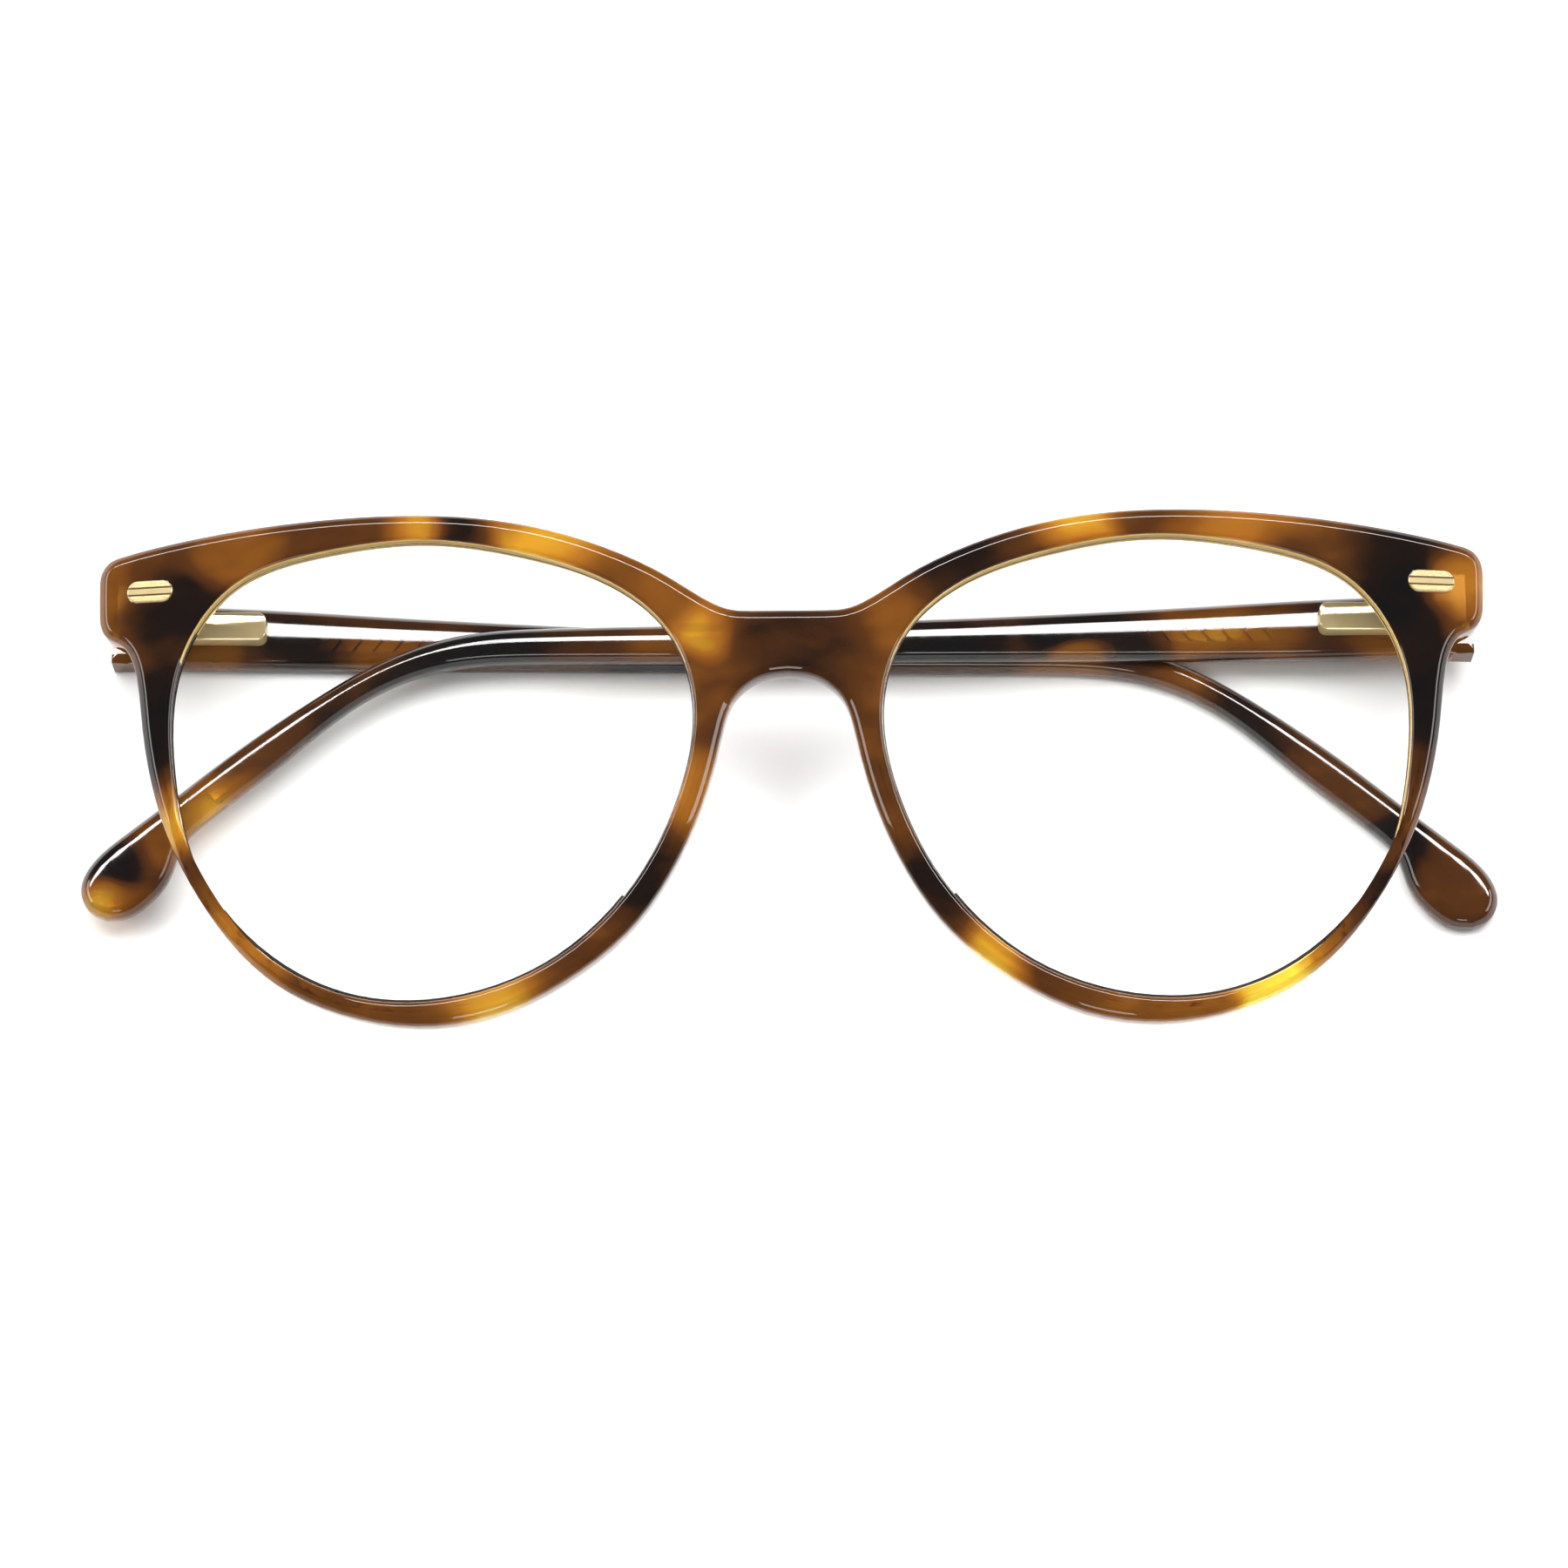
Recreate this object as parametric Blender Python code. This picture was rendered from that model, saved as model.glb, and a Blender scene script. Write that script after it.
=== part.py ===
"""Acetate eyeglasses, folded, resting face up on the folded temples.

Left and right are the wearer's. +X is the wearer's left, +Y is the top of the
front, +Z is away from the face, and the table is the plane z = 0.
"""
import math

import bmesh
import bpy
import numpy as np
from mathutils import Matrix, Vector

MM = 0.001

# Front, in millimetres from the middle of the bridge, at the front surface
WRAP_RADIUS = 320.0          # cylinder that the front is bent on
FRONT_THICK = 4.0
PANTO = math.radians(8.0)    # lean of the front against the temples
LENS_CENTRE = (35.2, 0.3)
OUTLINE = [(0, 15.8), (3.6, 15.8), (5.8, 16.0), (8.0, 16.95), (12, 19.5), (16.5, 21.8), (22, 23.85),
           (28.5, 25.4), (36.3, 26.2), (46, 26.15), (55.5, 25.35), (62.5, 24.3), (66.6, 23.45),
           (68.1, 22.85), (68.85, 21.8), (69.05, 20.2), (69.0, 17.8), (68.75, 16.1), (68.1, 15.15),
           (66.7, 14.35), (65.6, 12.9), (64.9, 10.4), (64.3, 5.5), (63.4, 0.6), (61.8, -4.6),
           (59.3, -9.8), (55.4, -15.6), (50.2, -20.5), (43.5, -23.65), (36.0, -24.95), (28.5, -23.95),
           (21.3, -20.5), (15.4, -15.75), (11.1, -9.55), (8.3, -3.1), (6.9, 2.0), (6.2, 4.9),
           (5.3, 7.0), (3.7, 8.55), (1.9, 9.3), (0, 9.5)]
OPENING = [(35.4, 23.5), (26.2, 21.9), (17.6, 18.8), (11.6, 13.6), (9.2, 5.9), (10.7, -2.7),
           (15.15, -11.45), (22.85, -18.7), (32.7, -22.3), (43.1, -21.8), (52.1, -16.95), (58.4, -9.0),
           (61.1, 1.6), (60.5, 12.2), (55.2, 19.7), (46.3, 22.7)]
OUTER_EDGE = [(-0.8, 0), (-0.28, -0.13), (0, -0.75), (0, -3.65), (-0.35, -4)]
OPENING_EDGE = [(0.5, 0), (0, -0.45), (0, -1.3), (1.0, -2), (0, -2.7), (0, -3.7), (0.3, -4)]
REAR_BAND = 0.6              # of the thickness, that follows the endpiece to its hinge seat
OUTLINE_SPACING = (3.4, 9.0)     # longest step, largest turn in degrees
OPENING_SPACING = (2.9, 6.0)
BEND_STRIP = 6.0
GROOVE_DEPTH = 1.0           # the lens groove, in the middle of the thickness
LENS_THICK = 1.3
LENS_CROWN = 1.0
LENS_GAP = 0.15
LENS_RINGS = (0.75, 0.4)
RIDGE_GAP = 0.25
PAD_RADII = (1.05, 6.6, 4.2)
PAD_CENTRE = (9.95, -3.0)
PAD_LEAN, PAD_SPLAY = math.radians(22), math.radians(-8)
PAD_GAP = 0.3
NAMED_SIDES = (("left", 1), ("right", -1))

# Endpieces and hinges
ENDPIECE_X = 62.3            # where the thick endpiece starts
ENDPIECE_Y = 13.2
BLEND = 0.7
SEAT = 10.1                  # flat hinge seat, behind the middle of the bridge
HINGE_X = 65.5
HINGE_Y = 19.9
BUTT = 3.4                   # temple in front of the hinge axis
AXIS_BACK = BUTT + 0.25      # hinge seat to axis
AXIS_IN = 0.4                # axis to the temple's inner face
KNUCKLE_RADIUS = 1.35
KNUCKLE_TOP = 2.15
EYELET_HALF = 0.62
KNUCKLE_GAP = 0.1
OVERLAP = 0.05               # sunk into each other where joined solids would share a face
ARM_START = 0.3
HOLE_RADIUS = 0.72
SCREW_RADIUS = 0.6
HEAD_RADIUS = 1.0
HEAD_DEPTH = 0.45
HEAD_GAP = 0.08
SLOT_HALF = 0.14
SLOT_DEPTH = 0.2
CLEAR = 3.0                  # how far a cutter runs out past what it cuts
ARM_HALF = 0.95
ANCHOR = (1.6, 2.4, 1.85)    # half width, half height, depth in the endpiece
FIT = 0.15                   # gap round a part that is set in another

# Temples, with u along the temple from the hinge axis and v up
TEMPLE_THICK = 3.2
TEMPLE_THIN = 2.8
TAPER_START, TAPER_END = 4.0, 24.0
BUTT_TOP, BUTT_BOTTOM = 3.15, -3.25
INNER_EDGE = [(1.25, 0), (0.45, 0.3), (0, 1.1)]
OUTER_ROUND = [(0, -0.7), (0.6, 0)]
BUTT_ROUND = 0.15            # share of the rounding left at the butt
BUTT_EASE = 6.0
TEMPLE_SPACING = (6.0, 11.0)
STACK_GAP = 0.2
TEMPLE_OUTLINE = [(2, 3.15), (10, 2.95), (28, 1.95), (53, 0.75), (78, 0.1), (91, -0.25), (98.4, -0.9),
                  (104, -2.5), (113.7, -7.9), (121, -13.2), (128.2, -19.1), (132.3, -22.4),
                  (135.3, -25.4), (136.2, -28.2), (134.9, -30.4), (132.2, -30.9), (129.3, -29.2),
                  (127.3, -26.3), (126.3, -23.3), (124.2, -20.9), (117, -14.9), (110.4, -9.2),
                  (103.6, -5.4), (98.0, -4.1), (91, -3.75), (76, -3.7), (45, -3.5), (20, -3.45),
                  (2, -3.3)]
NOTCH_HALF = 2.35            # half height of the notch for the knuckles
NOTCH_DEPTH = 2.0

# Spring hinge box, slider and core wire, in the temple's own u, v and w
BOX_START, BOX_END = 1.9, 12.3
BOX_HALF = 1.45
BOX_CORNER = 0.85
BOX_DEPTH = 1.45
CHANNEL_END = 5.4
TONGUE_END = 4.6
TONGUE_HALF = 0.75
TONGUE_INSET = 0.06
TONGUE_START = 0.4
CHANNEL_GAP = (0.18, 0.2)
BORE_RADIUS = 1.05
BORE_END = 11.9
ROD_RADIUS = 0.4
ROD_HEAD = (11.0, 11.6, 0.8)
RETAINER = (5.5, 6.1, 0.95, 0.5)
SPRING = (6.3, 9.6, 0.72, 0.1, 7)
WIRE_PATH = [(13.5, -0.35), (28, -0.75), (53, -1.35), (78, -1.8), (91, -2.0), (98.3, -2.55),
             (104.2, -4.1), (112.3, -8.75), (118.8, -14.0), (123.6, -18.2)]
WIRE_DEPTH = 1.9
WIRE_HALF_THICK = 0.35
WIRE_HALF = 0.65
WIRE_GAP = 0.12
WIRE_SPACING = (6.0, 5.0)
BARBS = (17.5, 27.5, 2.0, 1.35)

# Plaques
PLAQUE_CENTRE = (63.7, 19.5)
PLAQUE_HALF = 2.35
PLAQUE_RADIUS = 1.08
PLAQUE_THICK = 0.5
PLAQUE_PROUD = 0.15
PLAQUE_CHAMFER = 0.1
PIN_X = 1.2
PIN_RADIUS = 0.35
PIN_LENGTH = 1.5

HINGE_BACK = SEAT + AXIS_BACK
STACK = TEMPLE_THIN + STACK_GAP
ROLL = math.asin(STACK / (2 * HINGE_X))
AXIS_LOW = TEMPLE_THICK + AXIS_IN
FRONT_Z = AXIS_LOW + STACK / 2 + HINGE_BACK * math.cos(ROLL)
FRONT_X = -HINGE_BACK * math.sin(ROLL)
FRONT_Y = -1.29              # centres the whole on Y


def clear_scene():
    for old in list(bpy.data.objects):
        bpy.data.objects.remove(old, do_unlink=True)


def material(name, color, roughness, metallic=0.0, transmission=0.0):
    mat = bpy.data.materials.new(name)
    mat.use_nodes = True
    shader = mat.node_tree.nodes["Principled BSDF"]
    shader.inputs["Base Color"].default_value = (*color, 1.0)
    shader.inputs["Roughness"].default_value = roughness
    shader.inputs["Metallic"].default_value = metallic
    shader.inputs["Transmission Weight"].default_value = transmission
    mat.diffuse_color = (*color, 1.0)
    return mat


def empty(name, location, rotation, parent=None):
    obj = bpy.data.objects.new(name, None)
    bpy.context.collection.objects.link(obj)
    obj.location = Vector(location) * MM
    obj.rotation_euler = rotation
    obj.parent = parent
    return obj


def finish(name, bm, mat, parent):
    """Turn a bmesh in millimetres into a named object in metres."""
    bmesh.ops.recalc_face_normals(bm, faces=bm.faces)
    bmesh.ops.scale(bm, vec=(MM, MM, MM), verts=bm.verts)
    mesh = bpy.data.meshes.new(name)
    bm.to_mesh(mesh)
    bm.free()
    mesh.materials.append(mat)
    mesh.shade_smooth()
    mesh.set_sharp_from_angle(angle=math.radians(35))
    obj = bpy.data.objects.new(name, mesh)
    bpy.context.collection.objects.link(obj)
    obj.parent = parent
    return obj


def cutter(name, bm, parent):
    obj = finish(name, bm, MATERIALS["brass"], parent)
    obj.hide_render = True
    obj.display_type = "WIRE"
    return obj


def boolean(obj, other, operation="DIFFERENCE"):
    mod = obj.modifiers.new(other.name, "BOOLEAN")
    mod.operation = operation
    mod.solver = "EXACT"
    mod.object = other


def smooth_curve(points, closed=False, per_span=24):
    """Points along the cubic spline through the given points."""
    pts = np.array(points, dtype=float)
    if closed:
        pts = np.vstack([pts, pts[:1]])
    count = len(pts)
    span = np.linalg.norm(np.diff(pts, axis=0), axis=1)
    slope = np.diff(pts, axis=0) / span[:, None]
    matrix = np.zeros((count, count))
    right = np.zeros((count, 2))
    for i in range(1, count - 1):
        matrix[i, i - 1] = span[i]
        matrix[i, i] = 2 * (span[i - 1] + span[i])
        matrix[i, i + 1] = span[i - 1]
        right[i] = 3 * (span[i] * slope[i - 1] + span[i - 1] * slope[i])
    if closed:
        matrix[0, 0], matrix[0, -1] = 1, -1
        matrix[-1, 0], matrix[-1, 1] = 2 * span[-1], span[-1]
        matrix[-1, -1], matrix[-1, -2] = 2 * span[0], span[0]
        right[-1] = 3 * (span[0] * slope[-1] + span[-1] * slope[0])
    else:
        matrix[0, 0] = matrix[-1, -1] = 1
        right[0], right[-1] = slope[0], slope[-1]
    tangent = np.linalg.solve(matrix, right)
    out = []
    for i in range(count - 1):
        for t in np.arange(per_span) / per_span:
            a = (1 + 2 * t) * (1 - t) ** 2 * pts[i] + t * t * (3 - 2 * t) * pts[i + 1]
            b = t * (1 - t) ** 2 * tangent[i] + t * t * (t - 1) * tangent[i + 1]
            out.append(a + span[i] * b)
    if not closed:
        out.append(pts[-1])
    return np.array(out)


def thin(points, max_step, max_turn):
    """Keep a point at each max_step of length or max_turn degrees of bend."""
    kept = [points[0]]
    length = turn = 0.0
    for before, here, after in zip(points[:-2], points[1:-1], points[2:]):
        one, two = here - before, after - here
        length += np.linalg.norm(one)
        cross = one[0] * two[1] - one[1] * two[0]
        turn += abs(math.degrees(math.atan2(cross, one @ two)))
        if length >= max_step or turn >= max_turn:
            kept.append(here)
            length = turn = 0.0
    kept.append(points[-1])
    return np.array(kept)


def offset(loop, distance):
    """A closed loop moved outwards, where outwards is right of its direction."""
    before, after = np.roll(loop, 1, axis=0), np.roll(loop, -1, axis=0)
    along = after - before
    along /= np.linalg.norm(along, axis=1)[:, None]
    normal = np.column_stack([along[:, 1], -along[:, 0]])
    return loop + normal * np.reshape(distance, (-1, 1))


def counterclockwise(loop):
    x, y = loop[:, 0], loop[:, 1]
    area = np.sum(x * np.roll(y, -1) - np.roll(x, -1) * y)
    return loop if area > 0 else loop[::-1]


def add_loop(bm, loop, z):
    heights = np.broadcast_to(z, len(loop))
    return [bm.verts.new((p[0], p[1], h)) for p, h in zip(loop, heights)]


def bridge(bm, one, two):
    for i in range(len(one)):
        j = (i + 1) % len(one)
        bm.faces.new((one[i], one[j], two[j], two[i]))


def loop_edges(bm, ring):
    return [bm.edges.get((ring[i], ring[(i + 1) % len(ring)])) for i in range(len(ring))]


def prism(bm, loop, low, high):
    """A closed straight prism over a loop."""
    bottom, top = add_loop(bm, loop, low), add_loop(bm, loop, high)
    bridge(bm, bottom, top)
    bm.faces.new(bottom)
    bm.faces.new(top)


def box(bm, low, high):
    corners = [(low[0], low[1]), (high[0], low[1]), (high[0], high[1]), (low[0], high[1])]
    prism(bm, np.array(corners, dtype=float), low[2], high[2])


def circle(radius, sides, centre=(0.0, 0.0)):
    angle = np.arange(sides) * 2 * math.pi / sides
    return np.column_stack([centre[0] + radius * np.cos(angle), centre[1] + radius * np.sin(angle)])


def ring_prism(bm, outer, inner, low, high):
    """A closed tube between two loops of the same count."""
    stations = ((outer, low), (outer, high), (inner, high), (inner, low))
    rings = [add_loop(bm, loop, z) for loop, z in stations]
    for one, two in zip(rings, rings[1:] + rings[:1]):
        bridge(bm, one, two)


def turn_mesh(bm, matrix):
    bmesh.ops.transform(bm, matrix=matrix, verts=bm.verts)


Z_TO_Y = Matrix.Rotation(math.radians(-90), 4, "X")
Z_TO_X = Matrix.Rotation(math.radians(90), 4, "Y")


def wrap(x):
    """Height of the bent front surface at x."""
    return math.sqrt(WRAP_RADIUS ** 2 - x * x) - WRAP_RADIUS


def ramp(value):
    return min(max(value, 0.0), 1.0)


def front_height(x, y, flat_z):
    """Bend a flat height, and carry the rear of each endpiece to its hinge seat."""
    if flat_z > -FRONT_THICK + REAR_BAND:
        return wrap(x) + flat_z
    seat = (-SEAT - y * math.sin(PANTO)) / math.cos(PANTO)
    share = ramp((abs(x) - ENDPIECE_X) / BLEND) * ramp((y - ENDPIECE_Y) / BLEND)
    thin_rear = wrap(x) + flat_z
    thick_rear = seat + flat_z + FRONT_THICK
    return thin_rear + share * (thick_rear - thin_rear)


def front_loops():
    half = thin(smooth_curve(OUTLINE), *OUTLINE_SPACING)
    other = half[1:-1][::-1] * (-1, 1)
    outer = counterclockwise(np.vstack([half, other]))
    dense = smooth_curve(OPENING, closed=True)
    hole = thin(np.vstack([dense, dense[:1]]), *OPENING_SPACING)[:-1]
    hole = counterclockwise(hole)
    return outer, [hole, counterclockwise(hole * (-1, 1))]


def make_front(parent, hinge_roots):
    outer, holes = front_loops()
    bm = bmesh.new()
    caps = [[], []]
    for loop, stations in [(outer, OUTER_EDGE)] + [(hole, OPENING_EDGE) for hole in holes]:
        rings = [add_loop(bm, offset(loop, away), z) for away, z in stations]
        for one, two in zip(rings, rings[1:]):
            bridge(bm, one, two)
        caps[0] += loop_edges(bm, rings[0])
        caps[1] += loop_edges(bm, rings[-1])
    for edges in caps:
        bmesh.ops.triangle_fill(bm, edges=edges, use_beauty=True)
    cuts = [((x, 0, 0), (1, 0, 0)) for x in np.arange(-60, 61, BEND_STRIP)]
    for x in (ENDPIECE_X, ENDPIECE_X + BLEND):
        cuts += [((x, 0, 0), (1, 0, 0)), ((-x, 0, 0), (1, 0, 0))]
    cuts += [((0, y, 0), (0, 1, 0)) for y in (ENDPIECE_Y, ENDPIECE_Y + BLEND)]
    for point, normal in cuts:
        geom = bm.verts[:] + bm.edges[:] + bm.faces[:]
        bmesh.ops.bisect_plane(bm, geom=geom, dist=1e-5, plane_co=point, plane_no=normal)
    for vert in bm.verts:
        vert.co.z = front_height(*vert.co)
    front = finish("front", bm, MATERIALS["tortoise"], parent)
    for side_name, side in NAMED_SIDES:
        bm = bmesh.new()
        half_x, half_y, depth = (size + FIT for size in ANCHOR)
        box(bm, (-half_x, -half_y, AXIS_BACK - 0.5), (half_x, half_y, AXIS_BACK + depth))
        pocket = cutter("anchor_pocket_" + side_name, bm, hinge_roots[side])
        pocket.rotation_euler = (0, -ROLL, 0)
        boolean(front, pocket)
        bm = bmesh.new()
        prism(bm, plaque_loop(FIT), PLAQUE_PROUD - PLAQUE_THICK - FIT, CLEAR)
        recess = cutter("plaque_recess_" + side_name, bm, parent)
        place_on_front(recess, side)
        boolean(front, recess)
        bm = bmesh.new()
        for x in (-PIN_X, PIN_X):
            prism(bm, circle(PIN_RADIUS + FIT, 12, (x, 0)), -PLAQUE_THICK - PIN_LENGTH, -0.2)
        holes_cutter = cutter("pin_holes_" + side_name, bm, parent)
        place_on_front(holes_cutter, side)
        boolean(front, holes_cutter)


def plaque_loop(grow):
    ends = []
    for centre, start in ((PLAQUE_HALF - PLAQUE_RADIUS, -90), (-(PLAQUE_HALF - PLAQUE_RADIUS), 90)):
        for step in range(9):
            angle = math.radians(start + step * 22.5)
            radius = PLAQUE_RADIUS + grow
            ends.append((centre + radius * math.cos(angle), radius * math.sin(angle)))
    return np.array(ends)


def place_on_front(obj, side):
    """Set an object on the front surface at a plaque's place, square to the surface."""
    x = side * PLAQUE_CENTRE[0]
    obj.location = Vector((x, PLAQUE_CENTRE[1], wrap(x))) * MM
    obj.rotation_euler = (0, math.asin(x / WRAP_RADIUS), 0)


def make_plaque(side_name, side, parent):
    bm = bmesh.new()
    low = PLAQUE_PROUD - PLAQUE_THICK
    stations = [(0, low), (0, PLAQUE_PROUD - PLAQUE_CHAMFER), (-PLAQUE_CHAMFER, PLAQUE_PROUD)]
    rings = [add_loop(bm, plaque_loop(grow), z) for grow, z in stations]
    bridge(bm, rings[0], rings[1])
    bridge(bm, rings[1], rings[2])
    bm.faces.new(rings[0])
    bm.faces.new(rings[2])
    plaque = finish("plaque_" + side_name, bm, MATERIALS["gold"], parent)
    place_on_front(plaque, side)
    bm = bmesh.new()
    for x in (-PIN_X, PIN_X):
        prism(bm, circle(PIN_RADIUS, 12, (x, 0)), low - PIN_LENGTH, low + 0.1)
    pins = cutter("plaque_pins_" + side_name, bm, parent)
    place_on_front(pins, side)
    boolean(plaque, pins, "UNION")


def make_lens(side_name, side, parent):
    hole = front_loops()[1][0 if side > 0 else 1]
    centre = np.array([side * LENS_CENTRE[0], LENS_CENTRE[1]])
    middle = -FRONT_THICK / 2
    edge = offset(hole, -LENS_GAP)
    bm = bmesh.new()
    ridge = add_loop(bm, offset(hole, GROOVE_DEPTH - RIDGE_GAP), middle)
    for lift in (LENS_THICK / 2, -LENS_THICK / 2):
        ring = add_loop(bm, edge, middle + lift)
        bridge(bm, ridge, ring)
        for scale in LENS_RINGS:
            crown = LENS_CROWN * (1 - scale * scale)
            inner = add_loop(bm, centre + (edge - centre) * scale, middle + lift + crown)
            bridge(bm, ring, inner)
            ring = inner
        tip = bm.verts.new((*centre, middle + lift + LENS_CROWN))
        for i in range(len(ring)):
            bm.faces.new((ring[i], ring[(i + 1) % len(ring)], tip))
    for vert in bm.verts:
        vert.co.z += wrap(vert.co.x)
    finish("lens_" + side_name, bm, MATERIALS["clear"], parent)


def make_nose_pad(side_name, side, parent):
    """A carved acetate pad bonded to the rear of the rim beside the nose."""
    bm = bmesh.new()
    bmesh.ops.create_uvsphere(bm, u_segments=20, v_segments=12, radius=1.0)
    bmesh.ops.scale(bm, vec=PAD_RADII, verts=bm.verts)
    lean = Matrix.Rotation(PAD_LEAN, 4, "Z")
    splay = Matrix.Rotation(PAD_SPLAY, 4, "Y")
    turn_mesh(bm, Matrix.Translation((*PAD_CENTRE, -FRONT_THICK)) @ lean @ splay)
    geom = bm.verts[:] + bm.edges[:] + bm.faces[:]
    bond = (0, 0, -FRONT_THICK - PAD_GAP)
    cut = bmesh.ops.bisect_plane(bm, geom=geom, plane_co=bond, plane_no=(0, 0, 1), clear_outer=True)
    edges = [item for item in cut["geom_cut"] if isinstance(item, bmesh.types.BMEdge)]
    bmesh.ops.contextual_create(bm, geom=edges)
    if side < 0:
        turn_mesh(bm, Matrix.Scale(-1, 4, (1, 0, 0)))
    finish("nose_pad_" + side_name, bm, MATERIALS["tortoise"], parent)


def make_front_hinge(side_name, root):
    """Anchor plate in the endpiece, with an arm and a knuckle above and below the eyelet."""
    bm = bmesh.new()
    half_x, half_y, depth = ANCHOR
    box(bm, (-half_x, -half_y, AXIS_BACK + OVERLAP), (half_x, half_y, AXIS_BACK + depth))
    hinge = finish("front_hinge_" + side_name, bm, MATERIALS["gold"], root)
    hinge.rotation_euler = (0, -ROLL, 0)
    low = EYELET_HALF + KNUCKLE_GAP
    for place, bottom, top in (("upper", low, KNUCKLE_TOP), ("lower", -KNUCKLE_TOP, -low)):
        bm = bmesh.new()
        prism(bm, circle(KNUCKLE_RADIUS, 24), -top, -bottom)
        turn_mesh(bm, Z_TO_Y.inverted())
        barrel = cutter(f"knuckle_{place}_{side_name}", bm, root)
        bm = bmesh.new()
        low_corner = (-ARM_HALF, bottom + OVERLAP, ARM_START)
        box(bm, low_corner, (ARM_HALF, top - OVERLAP, AXIS_BACK + 0.5))
        arm = cutter(f"arm_{place}_{side_name}", bm, root)
        for piece in (arm, barrel):
            piece.rotation_euler = (0, -ROLL, 0)
            boolean(hinge, piece, "UNION")
    bm = bmesh.new()
    prism(bm, circle(HOLE_RADIUS, 20), -CLEAR, CLEAR)
    turn_mesh(bm, Z_TO_Y)
    hole = cutter("screw_hole_" + side_name, bm, root)
    bm = bmesh.new()
    prism(bm, circle(HEAD_RADIUS + HEAD_GAP, 20), KNUCKLE_TOP - HEAD_DEPTH - HEAD_GAP, CLEAR)
    turn_mesh(bm, Z_TO_Y)
    sink = cutter("screw_sink_" + side_name, bm, root)
    boolean(hinge, hole)
    boolean(hinge, sink)


def make_screw(side_name, root):
    bm = bmesh.new()
    prism(bm, circle(SCREW_RADIUS, 20), -KNUCKLE_TOP, KNUCKLE_TOP - HEAD_DEPTH + 0.1)
    turn_mesh(bm, Z_TO_Y)
    screw = finish("hinge_screw_" + side_name, bm, MATERIALS["gold"], root)
    bm = bmesh.new()
    prism(bm, circle(HEAD_RADIUS, 20), KNUCKLE_TOP - HEAD_DEPTH, KNUCKLE_TOP)
    turn_mesh(bm, Z_TO_Y)
    head = cutter("screw_head_" + side_name, bm, root)
    bm = bmesh.new()
    box(bm, (-CLEAR, KNUCKLE_TOP - SLOT_DEPTH, -SLOT_HALF), (CLEAR, CLEAR, SLOT_HALF))
    slot = cutter("screw_slot_" + side_name, bm, root)
    boolean(screw, head, "UNION")
    boolean(screw, slot)


def to_temple(bm, side):
    """Lay a mesh made in u, v, w out from the hinge axis along the folded temple."""
    turn_mesh(bm, Matrix.Diagonal((-side, 1, -1, 1)))


def make_slider(side_name, side, root):
    """Eyelet on the screw, tongue and spring rod in one piece."""
    bm = bmesh.new()
    tongue_high = EYELET_HALF - TONGUE_INSET
    box(bm, (TONGUE_START, -tongue_high, -TONGUE_HALF), (TONGUE_END, tongue_high, TONGUE_HALF))
    to_temple(bm, side)
    slider = finish("spring_slider_" + side_name, bm, MATERIALS["gold"], root)
    pieces = []
    bm = bmesh.new()
    prism(bm, circle(KNUCKLE_RADIUS - OVERLAP, 24), -EYELET_HALF, EYELET_HALF)
    turn_mesh(bm, Z_TO_Y)
    pieces.append(("eyelet", bm, "UNION"))
    bm = bmesh.new()
    prism(bm, circle(ROD_RADIUS, 12), TONGUE_END - 0.3, ROD_HEAD[0] + 0.1)
    turn_mesh(bm, Z_TO_X)
    to_temple(bm, side)
    pieces.append(("rod", bm, "UNION"))
    bm = bmesh.new()
    prism(bm, circle(ROD_HEAD[2], 16), ROD_HEAD[0], ROD_HEAD[1])
    turn_mesh(bm, Z_TO_X)
    to_temple(bm, side)
    pieces.append(("rod_head", bm, "UNION"))
    bm = bmesh.new()
    prism(bm, circle(HOLE_RADIUS, 20), -1, 1)
    turn_mesh(bm, Z_TO_Y)
    pieces.append(("eyelet_hole", bm, "DIFFERENCE"))
    for name, piece_bm, operation in pieces:
        boolean(slider, cutter(f"{name}_{side_name}", piece_bm, root), operation)


def box_loop(grow):
    """Outline of the spring box in u and v, with its inner corners rounded."""
    corner = BOX_CORNER + grow
    loop = [(BOX_START - grow, -BOX_HALF - grow)]
    for centre_v, start in ((BOX_CORNER - BOX_HALF, -90), (BOX_HALF - BOX_CORNER, 0)):
        for step in range(6):
            angle = math.radians(start + step * 18)
            u = BOX_END - BOX_CORNER + corner * math.cos(angle)
            loop.append((u, centre_v + corner * math.sin(angle)))
    loop.append((BOX_START - grow, BOX_HALF + grow))
    return np.array(loop)


def make_spring_box(side_name, side, root):
    bm = bmesh.new()
    prism(bm, box_loop(0), -BOX_DEPTH, BOX_DEPTH)
    to_temple(bm, side)
    housing = finish("spring_box_" + side_name, bm, MATERIALS["gold"], root)
    bm = bmesh.new()
    half_v = EYELET_HALF + CHANNEL_GAP[0]
    half_w = TONGUE_HALF + CHANNEL_GAP[1]
    box(bm, (BOX_START - 1, -half_v, -half_w), (CHANNEL_END, half_v, half_w))
    to_temple(bm, side)
    channel = cutter("tongue_channel_" + side_name, bm, root)
    bm = bmesh.new()
    prism(bm, circle(BORE_RADIUS, 20), CHANNEL_END - 0.2, BORE_END)
    turn_mesh(bm, Z_TO_X)
    to_temple(bm, side)
    bore = cutter("spring_bore_" + side_name, bm, root)
    boolean(housing, channel)
    boolean(housing, bore)


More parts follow.
